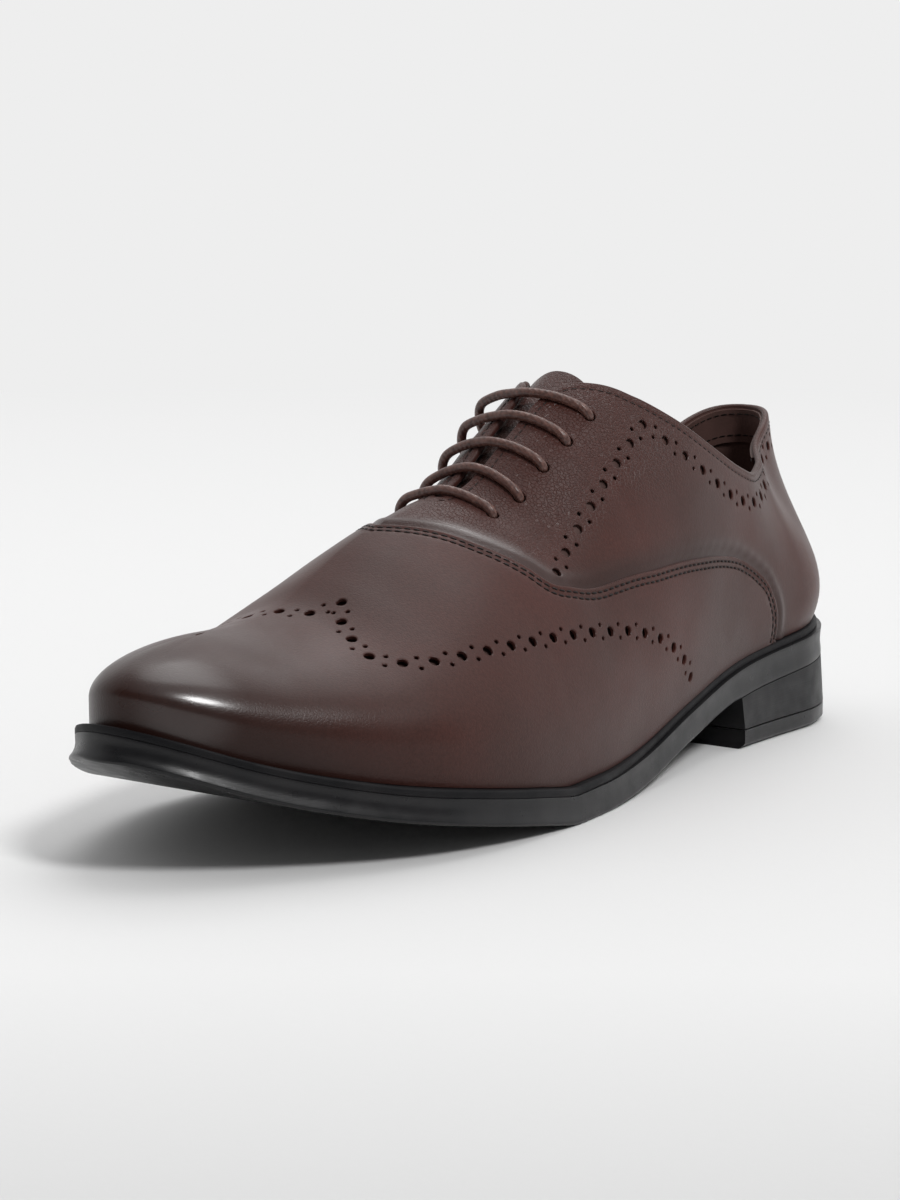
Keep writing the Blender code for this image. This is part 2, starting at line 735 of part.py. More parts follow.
def build_heel(parts):
    """The heel block and the lift under it, both with a flat breast."""
    ats = stations(HEEL_STEPS, HEEL_LENGTH / SOLE_LENGTH)

    def level(grow, height):
        def edge(at, side):
            x, s = outline(at, side, grow, grow, 0)
            return x, s, height(s)
        return closed_loop(ats, edge)

    base = LIFT_THICKNESS + CLEARANCE
    stacked_body("heel", [
        level(0.0, lambda s: underside(s) - CLEARANCE),
        level(HEEL_FLARE, lambda s: base),
    ], parts)
    stacked_body("top_lift", [
        level(HEEL_FLARE, lambda s: LIFT_THICKNESS),
        level(HEEL_FLARE, lambda s: LIFT_CHAMFER),
        level(HEEL_FLARE - LIFT_CHAMFER, lambda s: 0.0),
    ], parts)


# Materials: base colour, roughness
MATERIALS = {
    "brown_leather": ((0.075, 0.031, 0.026), 0.42),
    "brown_lining": ((0.035, 0.018, 0.015), 0.70),
    "lace_brown": ((0.060, 0.024, 0.020), 0.45),
    "black_rubber": ((0.012, 0.012, 0.013), 0.40),
}

# Material of each piece, by the start of its name
FINISH = {
    "upper": "brown_leather",
    "tongue": "brown_leather",
    "lace_bar": "lace_brown",
    "insole": "brown_lining",
    "welt": "black_rubber",
    "outsole": "black_rubber",
    "heel": "black_rubber",
    "top_lift": "black_rubber",
}


def make_material(name):
    """A plain surface from the table above."""
    colour, roughness = MATERIALS[name]
    material = bpy.data.materials.new(name)
    material.use_nodes = True
    shader = material.node_tree.nodes["Principled BSDF"]
    shader.inputs["Base Color"].default_value = (*colour, 1)
    shader.inputs["Roughness"].default_value = roughness
    shader.inputs["Metallic"].default_value = 0.0
    return material


def finish_parts(parts):
    """Give each piece its material."""
    materials = {name: make_material(name) for name in MATERIALS}
    for piece in parts.objects:
        kind = next(start for start in FINISH if piece.name.startswith(start))
        piece.data.materials.append(materials[FINISH[kind]])


def main():
    for old in list(bpy.data.objects):
        bpy.data.objects.remove(old, do_unlink=True)
    parts = bpy.data.collections.new("wingtip_shoe")
    cutters = bpy.data.collections.new("cutters")
    bpy.context.scene.collection.children.link(parts)
    bpy.context.scene.collection.children.link(cutters)
    build_outsole(parts)
    build_heel(parts)
    build_welt(parts)
    build_insole(parts)
    build_upper(parts, cutters)
    build_tongue(parts)
    for number, row in enumerate(lace_places(), start=1):
        build_lace_bar(number, row, parts)
    finish_parts(parts)


main()
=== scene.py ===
import math

import bpy
import numpy as np
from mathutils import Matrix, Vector
from mathutils.geometry import delaunay_2d_cdt
from mathutils.kdtree import KDTree


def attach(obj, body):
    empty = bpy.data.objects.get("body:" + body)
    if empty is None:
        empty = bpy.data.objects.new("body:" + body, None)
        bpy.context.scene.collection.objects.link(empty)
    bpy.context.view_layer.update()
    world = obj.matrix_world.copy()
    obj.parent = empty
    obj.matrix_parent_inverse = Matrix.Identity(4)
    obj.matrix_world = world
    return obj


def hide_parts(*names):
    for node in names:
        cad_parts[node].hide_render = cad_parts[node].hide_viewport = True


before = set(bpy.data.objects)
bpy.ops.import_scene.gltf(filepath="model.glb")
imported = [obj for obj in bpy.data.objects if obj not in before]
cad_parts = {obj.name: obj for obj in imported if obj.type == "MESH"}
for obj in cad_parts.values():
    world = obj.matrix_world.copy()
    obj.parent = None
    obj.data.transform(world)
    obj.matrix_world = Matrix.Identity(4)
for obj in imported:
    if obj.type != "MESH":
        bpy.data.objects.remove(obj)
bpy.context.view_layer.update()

# The looks of a wingtip oxford, left foot. Metres; the toe points to -Y, the wearer's outer side is +X.
# Places on the last are (x, s, z): across, distance from the heel's back, height.
MM = 0.001
SIDES = (1, -1)

# The last and the sole, as in the frame
SOLE_LENGTH = 304 * MM
BALL_WIDTH = 105 * MM
INSTEP_HEIGHT = 113 * MM
BACK_HEIGHT = 96 * MM
COLLAR_DIP_OUTER = 18 * MM
COLLAR_DIP_INNER = 14 * MM
PINCH_HEIGHT = 45 * MM
HEEL_HEIGHT = 22.3 * MM
TOE_SPRING = 29 * MM
SOLE_EDGE = 8.8 * MM
SOLE_FLARE = 1.6 * MM
WELT_MARGIN = 4.5 * MM
WELT_THICKNESS = 2.2 * MM
WELT_INSET = 1.5 * MM
INSOLE_PROUD = 1.6 * MM
HEEL_LENGTH = 74 * MM
HEEL_FLARE = 0.8 * MM
LIFT_THICKNESS = 5.5 * MM
CLEARANCE = 0.3 * MM
UPPER_WALL = 2.0 * MM
VAMP_STEP = 0.9 * MM
SLIT_FRONT = 0.575
SLIT_BACK = 0.421
SLIT_WIDTH_FRONT = 5.0 * MM
SLIT_WIDTH_BACK = 10.0 * MM
LACE_ROWS = 5
LACE_FRONT = 0.570
LACE_BACK = 0.434
LACE_INSET = 13.4 * MM
LACE_HOLE_DIAMETER = 3.7 * MM
LACE_DIAMETER = 2.7 * MM
TONGUE_FRONT = 0.66
TONGUE_WIDTH_FRONT = 30 * MM
TONGUE_WIDTH_BACK = 44 * MM
TONGUE_THICKNESS = 1.8 * MM
TONGUE_GAP = 0.9 * MM
HEEL_ROUND = 0.118
TOE_ROUND = 0.24


class Table:
    """Rows of numbers under named columns, read as smooth curves along the first column."""

    def __init__(self, names, rows):
        columns = np.array(rows, float).T
        self.places = columns[0]
        self.gaps = np.diff(self.places)
        self.values = dict(zip(names.split(), columns))
        self.leans = {name: self.lean(values) for name, values in self.values.items()}

    def lean(self, values):
        slopes = np.diff(values) / self.gaps
        before, after = self.gaps[:-1], self.gaps[1:]
        middle = (slopes[:-1] * after + slopes[1:] * before) / (before + after)
        return np.concatenate(([slopes[0]], middle, [slopes[-1]]))

    def read(self, name, at):
        x = np.clip(at, self.places[0], self.places[-1])
        i = np.clip(np.searchsorted(self.places, x, side="right") - 1, 0, len(self.gaps) - 1)
        gap = self.gaps[i]
        t = (x - self.places[i]) / gap
        values, leans = self.values[name], self.leans[name]
        curve = (1 + 2 * t) * (1 - t) ** 2 * values[i] + t * t * (3 - 2 * t) * values[i + 1]
        return curve + gap * (t * (1 - t) ** 2 * leans[i] - t * t * (1 - t) * leans[i + 1])


# Outline of the outsole: half widths as shares of BALL_WIDTH, margin of WELT_MARGIN,
# welt of WELT_INSET and flare of SOLE_FLARE
PLAN = Table("at outer inner margin welt flare", [
    (0.00, 0.312, 0.312, 0.55, 0.80, 0.00),
    (0.12, 0.309, 0.301, 0.55, 0.80, 0.00),
    (0.25, 0.325, 0.275, 0.55, 0.80, 0.00),
    (0.36, 0.372, 0.266, 0.60, 0.80, 0.05),
    (0.46, 0.424, 0.318, 0.70, 0.70, 0.15),
    (0.56, 0.477, 0.408, 0.78, 0.45, 0.40),
    (0.64, 0.502, 0.470, 0.80, 0.35, 0.55),
    (0.70, 0.502, 0.495, 0.80, 0.30, 0.60),
    (0.76, 0.479, 0.492, 0.82, 0.30, 0.70),
    (0.84, 0.419, 0.455, 0.90, 0.30, 0.85),
    (0.92, 0.351, 0.415, 0.96, 0.30, 0.95),
    (1.00, 0.314, 0.400, 1.00, 0.30, 1.00),
])

# Side view of the sole: shares of HEEL_HEIGHT, TOE_SPRING and SOLE_EDGE
SIDE = Table("at heel spring edge", [
    (0.00, 1.000, 0.00, 1.25),
    (0.12, 0.855, 0.00, 1.22),
    (0.24, 0.700, 0.00, 1.20),
    (0.36, 0.390, 0.00, 1.18),
    (0.48, 0.065, 0.00, 1.17),
    (0.545, 0.00, 0.00, 1.15),
    (0.61, 0.000, 0.00, 1.12),
    (0.66, 0.000, 0.087, 1.09),
    (0.74, 0.000, 0.227, 1.05),
    (0.84, 0.000, 0.420, 1.03),
    (0.92, 0.000, 0.650, 1.05),
    (1.00, 0.000, 1.00, 1.05),
])

# Ridge line over the foot: height as a share of INSTEP_HEIGHT, sway to the outer side of BALL_WIDTH
RIDGE = Table("at height sway", [
    (0.13, 1.300, 0.000),
    (0.25, 1.250, 0.000),
    (0.38, 1.060, 0.000),
    (0.44, 0.962, 0.000),
    (0.50, 0.849, 0.000),
    (0.56, 0.742, -0.004),
    (0.60, 0.710, -0.024),
    (0.64, 0.674, -0.048),
    (0.68, 0.626, -0.070),
    (0.72, 0.566, -0.084),
    (0.76, 0.508, -0.090),
    (0.80, 0.483, -0.088),
    (0.87, 0.478, -0.076),
])

# Cross sections, one for each place on the feather line: where its top meets the ridge,
# how far its bulge hangs over the feather (outer and inner), how far the wall above the bulge is
# drawn in and leans to the inner side (shares of BALL_WIDTH), how high the bulge lies over the
# feather (share of INSTEP_HEIGHT), and the roundness exponents in plan, on each side, and in height
SECTION = Table("at crest outer inner pinch lean bulge round_outer round_inner round_side", [
    (0.00, 0.150, 0.022, 0.022, 0.044, 0.040, 0.085, 2.00, 2.00, 2.00),
    (0.05, 0.165, 0.022, 0.022, 0.138, 0.032, 0.085, 2.00, 2.00, 2.00),
    (0.12, 0.200, 0.024, 0.024, 0.092, 0.018, 0.100, 2.00, 2.00, 2.00),
    (0.20, 0.260, 0.030, 0.036, 0.036, 0.006, 0.150, 2.00, 2.00, 2.00),
    (0.30, 0.360, 0.030, 0.055, 0.000, 0.000, 0.190, 2.00, 2.00, 2.00),
    (0.40, 0.470, 0.025, 0.050, 0.000, 0.000, 0.180, 2.00, 2.00, 2.00),
    (0.50, 0.560, 0.015, 0.030, 0.000, 0.000, 0.140, 1.85, 1.75, 1.95),
    (0.60, 0.640, 0.008, 0.012, 0.000, 0.000, 0.110, 1.80, 1.40, 1.90),
    (0.70, 0.700, 0.006, 0.006, 0.000, 0.000, 0.095, 1.80, 1.30, 1.90),
    (0.80, 0.750, 0.005, 0.005, 0.000, 0.000, 0.085, 1.90, 1.50, 1.95),
    (0.90, 0.800, 0.003, 0.002, 0.000, 0.000, 0.075, 1.98, 1.80, 2.05),
    (1.00, 0.870, 0.000, 0.000, 0.000, 0.000, 0.070, 1.95, 1.95, 2.00),
])

# Topline in side view: rise is a share of the climb from the back to the instep, dip of the collar's dip
TOPLINE = Table("at rise dip", [
    (0.00, 0.00, 0.00),
    (0.04, 0.00, 0.03),
    (0.08, 0.00, 0.29),
    (0.13, 0.00, 0.74),
    (0.18, 0.02, 0.93),
    (0.22, 0.10, 0.86),
    (0.28, 0.33, 0.66),
    (0.34, 0.66, 0.42),
    (0.39, 0.90, 0.19),
    (0.42, 0.98, 0.05),
    (0.45, 1.10, 0.00),
])

# Seam where the vamp laps over the quarters, in side view from the welt near the heel
# to the ridge: shares of the sole length and of INSTEP_HEIGHT
VAMP_SEAM = [
    (0.158, 0.150), (0.164, 0.240), (0.171, 0.308), (0.179, 0.361), (0.192, 0.410),
    (0.216, 0.458), (0.254, 0.503), (0.300, 0.527), (0.355, 0.535), (0.420, 0.531),
    (0.500, 0.517), (0.545, 0.519), (0.572, 0.536), (0.588, 0.575), (0.607, 0.615),
    (0.622, 0.645), (0.640, 0.662), (0.665, 0.690),
]


def outline(at, side, grow_back=0.0, grow_side=0.0, grow_front=0.0):
    """Points (x, s) of the outsole's outline, moved out by the three amounts."""
    outer = PLAN.read("outer", at) * BALL_WIDTH
    inner = PLAN.read("inner", at) * BALL_WIDTH
    back = np.maximum((HEEL_ROUND - at) / HEEL_ROUND, 0)
    front = np.maximum((at - (1 - TOE_ROUND)) / TOE_ROUND, 0)
    ends = np.sqrt(np.maximum(1 - back ** 2, 0) * np.maximum(1 - front ** 2, 0))
    x = (outer - inner) / 2 + side * ((outer + inner) / 2 + grow_side) * ends
    return x, at * (SOLE_LENGTH + grow_back + grow_front) - grow_back


def feather(at, side, inset=0.0):
    """The line where the upper meets the welt, moved in by inset."""
    margin = PLAN.read("margin", at) * WELT_MARGIN
    back = PLAN.read("margin", 0.0) * WELT_MARGIN
    front = PLAN.read("margin", 1.0) * WELT_MARGIN
    return outline(at, side, -back - inset, -margin - inset, -front - inset)


def underside(s):
    at = s / SOLE_LENGTH
    heel = np.maximum(SIDE.read("heel", at), 0) * HEEL_HEIGHT
    return heel + np.maximum(SIDE.read("spring", at), 0) * TOE_SPRING


def sole_top(s):
    """Height of the welt's top, on which the upper stands."""
    return underside(s) + SIDE.read("edge", s / SOLE_LENGTH) * SOLE_EDGE


def ridge(s):
    at = s / SOLE_LENGTH
    return RIDGE.read("sway", at) * BALL_WIDTH, RIDGE.read("height", at) * INSTEP_HEIGHT


def surface(at, turn, side):
    """The upper's outer surface: turn runs from -90 degrees at the feather to 90 at the ridge."""
    foot_x, foot_s = feather(at, side)
    foot_z = sole_top(foot_s) + CLEARANCE
    crest_s = SECTION.read("crest", at) * SOLE_LENGTH
    crest_x, crest_z = ridge(crest_s)
    reach = np.hypot(foot_x - crest_x, foot_s - crest_s)
    hang = np.where(side > 0, SECTION.read("outer", at), SECTION.read("inner", at))
    round_plan = np.where(side > 0, SECTION.read("round_outer", at), SECTION.read("round_inner", at))
    widest = 1 + hang * BALL_WIDTH / reach
    bulge_z = foot_z + SECTION.read("bulge", at) * INSTEP_HEIGHT
    sine, cosine = np.sin(turn), np.maximum(np.cos(turn), 0)
    rise = np.maximum(sine, 0)
    low_spread = 1 + (widest - 1) * cosine ** 2
    low_z = bulge_z + (bulge_z - foot_z) * sine
    high_z = bulge_z + (crest_z - bulge_z) * rise ** (2 / SECTION.read("round_side", at))
    drawn = np.sin(math.pi / 2 * np.clip((high_z - bulge_z) / PINCH_HEIGHT, 0, 1)) ** 2
    high_spread = widest * cosine ** (2 / round_plan)
    high_spread = high_spread - SECTION.read("pinch", at) * BALL_WIDTH / reach * drawn * cosine
    spread = np.where(turn <= 0, low_spread, high_spread)
    lean = np.where(turn > 0, SECTION.read("lean", at) * BALL_WIDTH * drawn, 0)
    x = crest_x + (foot_x - crest_x) * spread - lean
    s = crest_s + (foot_s - crest_s) * spread
    slope = (ridge(crest_s + MM)[1] - ridge(crest_s - MM)[1]) / (2 * MM)
    z = np.where(turn <= 0, low_z, high_z + slope * (s - crest_s) * rise ** 2)
    return x, s, z


def topline(s, side):
    """Height of the collar's edge in side view."""
    at = s / SOLE_LENGTH
    dip = np.where(side > 0, COLLAR_DIP_OUTER, COLLAR_DIP_INNER)
    climb = (INSTEP_HEIGHT - BACK_HEIGHT) * TOPLINE.read("rise", at)
    return BACK_HEIGHT + climb - dip * TOPLINE.read("dip", at)


def slit_half(s):
    share = (SLIT_FRONT - s / SOLE_LENGTH) / (SLIT_FRONT - SLIT_BACK)
    return (SLIT_WIDTH_FRONT + (SLIT_WIDTH_BACK - SLIT_WIDTH_FRONT) * share) / 2


RIM_AT = np.linspace(0, 1, 101)
RIM_X = [outline(RIM_AT, side, *[PLAN.read("flare", RIM_AT) * SOLE_FLARE] * 3)[0] for side in SIDES]
MIDDLE_X = (np.min(RIM_X) + np.max(RIM_X)) / 2
MIDDLE_S = (SOLE_LENGTH + SOLE_FLARE - HEEL_FLARE) / 2


def place(x, s, z):
    """World points; the origin lies on the floor under the middle of the shoe."""
    x, s, z = np.broadcast_arrays(x, s, z)
    return np.stack([x - MIDDLE_X, MIDDLE_S - s, z], axis=-1)


# The chart: the upper laid out flat, in millimetres. a runs along the feather line from the heel to the
# toe, b from the outer feather up to the ridge and down to the inner feather: b is 0 at the outer bulge
# and OVER at the ridge. Past the heel or the toe, the chart goes on along the other side.
HEEL_RUN = 50.0
MIDDLE_RUN = 195.0
TOE_RUN = 90.0
END = HEEL_RUN + MIDDLE_RUN + TOE_RUN
UNDER = 26.0
OVER = 80.0
FIRST_B = -UNDER
LAST_B = 2 * OVER + UNDER
HEEL_OUTER, HEEL_INNER = (0, FIRST_B), (0, LAST_B)
TOE_OUTER, TOE_INNER = (END, FIRST_B), (END, LAST_B)


def share_at(a):
    """Share of the feather line at the chart's a."""
    quarter = math.pi / 2
    heel = HEEL_ROUND * (1 - np.cos(quarter * np.clip(a / HEEL_RUN, 0, 1)))
    middle = np.clip((a - HEEL_RUN) / MIDDLE_RUN, 0, 1) * (1 - TOE_ROUND - HEEL_ROUND)
    toe = TOE_ROUND * np.sin(quarter * np.clip((a - HEEL_RUN - MIDDLE_RUN) / TOE_RUN, 0, 1))
    return heel + middle + toe


def form(chart):
    """World points of the upper's outer surface."""
    a, b = np.asarray(chart, float).T
    crossed = (a < 0) | (a > END)
    a = np.abs(a)
    a = np.where(a > END, 2 * END - a, a)
    b = np.where(crossed, 2 * OVER - b, b)
    side = np.where(b <= OVER, 1, -1)
    b = np.where(b > OVER, 2 * OVER - b, b)
    turn = np.where(b > 0, b / OVER, np.maximum(b / UNDER, -1)) * math.pi / 2
    return place(*surface(share_at(a), turn, side))


def axes(chart):
    """World points, the two tangents for a chart millimetre, and the outward normals."""
    chart = np.asarray(chart, float)
    step_a, step_b = np.array([0.5, 0]), np.array([0, 0.5])
    low = chart.copy()
    low[:, 1] = np.clip(low[:, 1], FIRST_B + 0.5, LAST_B - 0.5)
    along = form(low + step_a) - form(low - step_a)
    up = form(low + step_b) - form(low - step_b)
    normal = np.cross(up, along)
    normal /= np.linalg.norm(normal, axis=1, keepdims=True) + 1e-12
    return form(chart), along, up, normal


def solve(along, up, wanted):
    """Chart steps that move along the two tangents by the wanted world vectors."""
    aa, bb, ab = (along * along).sum(1), (up * up).sum(1), (along * up).sum(1)
    wa, wb = (wanted * along).sum(1), (wanted * up).sum(1)
    scale = aa * bb - ab * ab + 1e-18
    return np.stack([(wa * bb - wb * ab) / scale, (wb * aa - wa * ab) / scale], axis=1)


GRID_A = np.arange(0, END + 0.1, 2.5)
GRID_B = np.arange(FIRST_B, LAST_B + 0.1, 2.0)
GRID = np.stack(np.meshgrid(GRID_A, GRID_B), axis=-1).reshape(-1, 2)
GRID_POINTS = form(GRID)
TOP_VIEW = np.array([1.0, 1.0, 0.0])
SIDE_VIEW = np.array([0.0, 1.0, 1.0])
NEAREST = np.array([1.0, 1.0, 1.0])
SEARCH_STEPS = 12
LONGEST_STEP = 3
STEP_SHARE = 0.9


def find(targets, view, low=FIRST_B, high=LAST_B):
    """Chart places where the form lies at the targets (x, s, z) in that view, with b from low to high."""
    targets = place(*np.asarray(targets, float).T)
    usable = (GRID[:, 1] >= low) & (GRID[:, 1] <= high)
    apart = ((GRID_POINTS[usable][None] - targets[:, None]) * view) ** 2
    chart = GRID[usable][apart.sum(2).argmin(1)]
    for _ in range(SEARCH_STEPS):
        points, along, up, _ = axes(chart)
        step = solve(along * view, up * view, (targets - points) * view)
        chart = chart + np.clip(step, -LONGEST_STEP, LONGEST_STEP) * STEP_SHARE
        chart[:, 1] = np.clip(chart[:, 1], low, high)
    return chart


def from_above(targets, margin=20):
    """Chart places under the targets seen from above, at least margin from the bulge."""
    return find(targets, TOP_VIEW, margin, 2 * OVER - margin)


def sideways(chart, distance, closed=False):
    """A chart curve moved in the surface by a distance, to the left of its way seen from outside."""
    points, along, up, normal = axes(chart)
    if closed:
        ahead = np.roll(points, -1, 0) - np.roll(points, 1, 0)
    else:
        ahead = np.gradient(points, axis=0)
    left = np.cross(normal, ahead)
    left /= np.linalg.norm(left, axis=1, keepdims=True) + 1e-12
    return chart + solve(along, up, left * distance)


def smooth(points, per=10):
    """A curve through the points, with per places in each stretch."""
    points = np.asarray(points, float)
    ends = np.vstack([2 * points[0] - points[1], points, 2 * points[-1] - points[-2]])
    t = np.linspace(0, 1, per, endpoint=False)[:, None]
    rows = []
    for p0, p1, p2, p3 in zip(ends, ends[1:], ends[2:], ends[3:]):
        rows.append(0.5 * (2 * p1 + (p2 - p0) * t + (2 * p0 - 5 * p1 + 4 * p2 - p3) * t ** 2
                           + (3 * p1 - p0 - 3 * p2 + p3) * t ** 3))
    return np.vstack(rows + [points[-1:]])


def lengths(points):
    steps = np.linalg.norm(np.diff(points, axis=0), axis=1)
    return np.concatenate([[0], np.cumsum(steps)])


def spaced(chart, step):
    """The same chart curve with places a step apart in the world."""
    run = lengths(form(chart))
    count = max(int(round(run[-1] / step)), 1)
    wanted = np.linspace(0, run[-1], count + 1)
    return np.stack([np.interp(wanted, run, chart[:, i]) for i in (0, 1)], axis=1)


def inside(polygon, points):
    """Whether each point lies inside the polygon."""
    result = np.zeros(len(points), bool)
    x, y = points.T
    for (x0, y0), (x1, y1) in zip(polygon, np.roll(polygon, -1, 0)):
        if y0 != y1:
            cross = ((y0 > y) != (y1 > y)) & (x < (x1 - x0) * (y - y0) / (y1 - y0) + x0)
            result ^= cross
    return result


# Meshes

def strips(rings, count, base=0, closed=False):
    """Quads between each ring of count points and the next, and back to the first when closed."""
    faces = []
    for i in range(rings if closed else rings - 1):
        here, there = base + i * count, base + (i + 1) % rings * count
        for k in range(count):
            n = (k + 1) % count
            faces.append((here + k, here + n, there + n, there + k))
    return faces


def linked(name, data):
    """An object with that data, in the scene."""
    made = bpy.data.objects.new(name, data)
    bpy.context.scene.collection.objects.link(made)
    return made


def new_mesh(name, verts, faces, material, replaced=(), sharp=40):
    """A smooth-shaded object of the shoe, riding on its one body."""
    mesh = bpy.data.meshes.new(name)
    mesh.from_pydata([tuple(v) for v in np.asarray(verts)], [], faces)
    mesh.validate()
    mesh.shade_smooth()
    mesh.set_sharp_from_angle(angle=math.radians(sharp))
    made = linked(name, mesh)
    mesh.materials.append(material)
    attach(made, "root")
    if replaced:
        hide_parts(*replaced)
    return made


def give(made, **layers):
    """Keep numbers for each vertex, for the material to read."""
    for name, values in layers.items():
        layer = made.data.attributes.new(name, "FLOAT", "POINT")
        values = values + np.zeros(len(made.data.vertices))
        layer.data.foreach_set("value", values.astype(np.float32))


def tree_of(points):
    tree = KDTree(len(points))
    for i, point in enumerate(points):
        tree.insert(point, i)
    tree.balance()
    return tree


def nearest(tree, points):
    """Distance to the nearest point of the tree and its number, for each point."""
    found = [tree.find(point) for point in points]
    return np.array([hit[2] for hit in found]), np.array([hit[1] for hit in found])


# Fine rows of points beside finished edges and round holes, of which narrow holes take two
EDGE_ROWS = np.array([0.15, 0.4, 0.8, 1.2, 1.6, 2.0, 2.8, 3.2, 3.6, 4.2]) * MM
HOLE_ROWS = np.array([0.2, 0.5, 1.0]) * MM
NARROW_HOLE = 0.8 * MM
# Share of its distance that a point of an edge row has to keep from every part of the edge
ROW_KEPT = 0.9
# The field between: its rows and its way from the border as shares of the spacing, and from the fine rows
FIELD_ROWS = 0.87
FIELD_BORDER = 0.6
FIELD_EDGE = 0.5 * MM
FIELD_HOLE = 0.4 * MM


class Panel:
    """A sheet of leather on the upper, cut to a border in the chart, with holes."""

    def __init__(self, border, finished, holes=(), spacing=1.5, edge_rows=EDGE_ROWS):
        self.border = border
        self.finished = finished
        self.holes = list(holes)
        probe = sideways(border[:40], 0.5 * MM)
        self.inward = 1 if inside(border, probe).mean() > 0.5 else -1
        rows = [border]
        for distance in edge_rows:
            row = sideways(border, self.inward * distance, closed=True)[finished]
            rows.append(row[inside(border, row)])
        self.edge_tree = tree_of(form(self.dense_edge()))
        if len(rows) > 1:
            near, _ = nearest(self.edge_tree, form(np.vstack(rows[1:])))
            wanted = np.concatenate([[d] * len(r) for d, r in zip(edge_rows, rows[1:])])
            rows = [border, np.vstack(rows[1:])[near > wanted * ROW_KEPT]]
        loops = []
        for centre, radius, count in self.holes:
            loops.append(self.ring(centre, radius, count))
            for distance in HOLE_ROWS[:3 if radius > NARROW_HOLE else 2]:
                rows.append(self.ring(centre, radius + distance, count))
        a = np.arange(border[:, 0].min(), border[:, 0].max(), spacing)
        b = np.arange(border[:, 1].min(), border[:, 1].max(), spacing * FIELD_ROWS)
        field = np.stack(np.meshgrid(a, b), axis=-1)
        field[1::2, :, 0] += spacing / 2
        field = field.reshape(-1, 2)
        field = field[inside(border, field)]
        points = form(field)
        border_tree = tree_of(form(border))
        keep = nearest(border_tree, points)[0] > spacing * FIELD_BORDER * MM
        if finished.any() and len(edge_rows):
            keep &= nearest(self.edge_tree, points)[0] > edge_rows[-1] + FIELD_EDGE
        if self.holes:
            self.hole_tree = tree_of(form(np.array([hole[0] for hole in self.holes])))
            self.hole_radii = np.array([hole[1] for hole in self.holes])
            apart, which = nearest(self.hole_tree, points)
            keep &= apart - self.hole_radii[which] > HOLE_ROWS[-1] + FIELD_HOLE
        rows.append(field[keep])
        self.mesh_chart(rows, loops)

    def dense_edge(self):
        """The finished edge, finely divided."""
        count = len(self.border)
        parts = [self.border[:1] if not self.finished.any() else np.zeros((0, 2))]
        t = np.linspace(0, 1, 6, endpoint=False)[:, None]
        for i in range(count):
            j = (i + 1) % count
            if self.finished[i] and self.finished[j]:
                parts.append(self.border[i] * (1 - t) + self.border[j] * t)
        return np.vstack(parts)

    def ring(self, centre, radius, count):
        """A circle of that radius on the surface round a chart place."""
        _, along, up, _ = axes(np.array([centre]))
        e1 = along[0] / np.linalg.norm(along[0])
        e2 = up[0] - e1 * (up[0] @ e1)
        e2 /= np.linalg.norm(e2)
        turn = np.arange(count) / count * 2 * math.pi
        wanted = radius * (np.cos(turn)[:, None] * e1 + np.sin(turn)[:, None] * e2)
        return np.array(centre) + solve(np.repeat(along, count, 0), np.repeat(up, count, 0), wanted)

    def mesh_chart(self, rows, loops):
        border = rows[0]
        flat = [border] + loops + rows[1:]
        count = len(border)
        edges = [(i, (i + 1) % count) for i in range(count)]
        start = count
        for loop in loops:
            edges += [(start + i, start + (i + 1) % len(loop)) for i in range(len(loop))]
            start += len(loop)
        points = [Vector(p) for p in np.vstack(flat)]
        out = delaunay_2d_cdt(points, edges, [], 0, 1e-5)
        self.chart = np.array([tuple(p) for p in out[0]])
        faces = np.array(out[2])
        centres = self.chart[faces].mean(axis=1)
        keep = inside(border, centres)
        for loop in loops:
            low, high = loop.min(axis=0), loop.max(axis=0)
            near = np.where(((centres > low) & (centres < high)).all(axis=1))[0]
            keep[near[inside(loop, centres[near])]] = False
        faces = faces[keep]
        used = np.unique(faces)
        number = np.full(len(self.chart), -1)
        number[used] = np.arange(len(used))
        self.chart = self.chart[used]
        self.faces = number[faces]
        self.points, _, _, self.normal = axes(self.chart)
        if self.finished.any():
            self.edge = nearest(self.edge_tree, self.points)[0]
        else:
            self.edge = np.full(len(self.points), 1.0)
        self.rim = np.full(len(self.points), 1.0)
        if self.holes:
            apart, which = nearest(self.hole_tree, self.points)
            self.rim = np.maximum(apart - self.hole_radii[which], 0)

    def build(self, name, level, wall, material, replaced=(), welded=()):
        """The panel as a slab whose outer face lies level over the form at each vertex."""
        count = len(self.points)
        level = level + np.zeros(count)
        top = self.points + self.normal * level[:, None]
        bottom = self.points + self.normal * (np.max(level) - wall)
        triangles = self.faces
        a, b, c = (self.points[triangles[:, i]] for i in range(3))
        facing = (np.cross(b - a, c - a) * self.normal[triangles[:, 0]]).sum(axis=1) > 0
        triangles = np.where(facing[:, None], triangles, triangles[:, ::-1])
        faces = [tuple(t) for t in triangles] + [tuple(t) for t in triangles[:, ::-1] + count]
        sides = np.concatenate([triangles[:, [0, 1]], triangles[:, [1, 2]], triangles[:, [2, 0]]])
        known = set(map(tuple, sides))
        for i, j in known:
            if (j, i) in known:
                continue
            ends = self.chart[[i, j], 0]
            if any(np.all(np.abs(ends - place_a) < 0.01) for place_a in welded):
                continue
            faces.append((j, i, i + count, j + count))
        made = new_mesh(name, np.vstack([top, bottom]), faces, material, replaced)
        if welded:
            weld = made.modifiers.new("weld", "WELD")
            weld.merge_threshold = 0.02 * MM
        return made


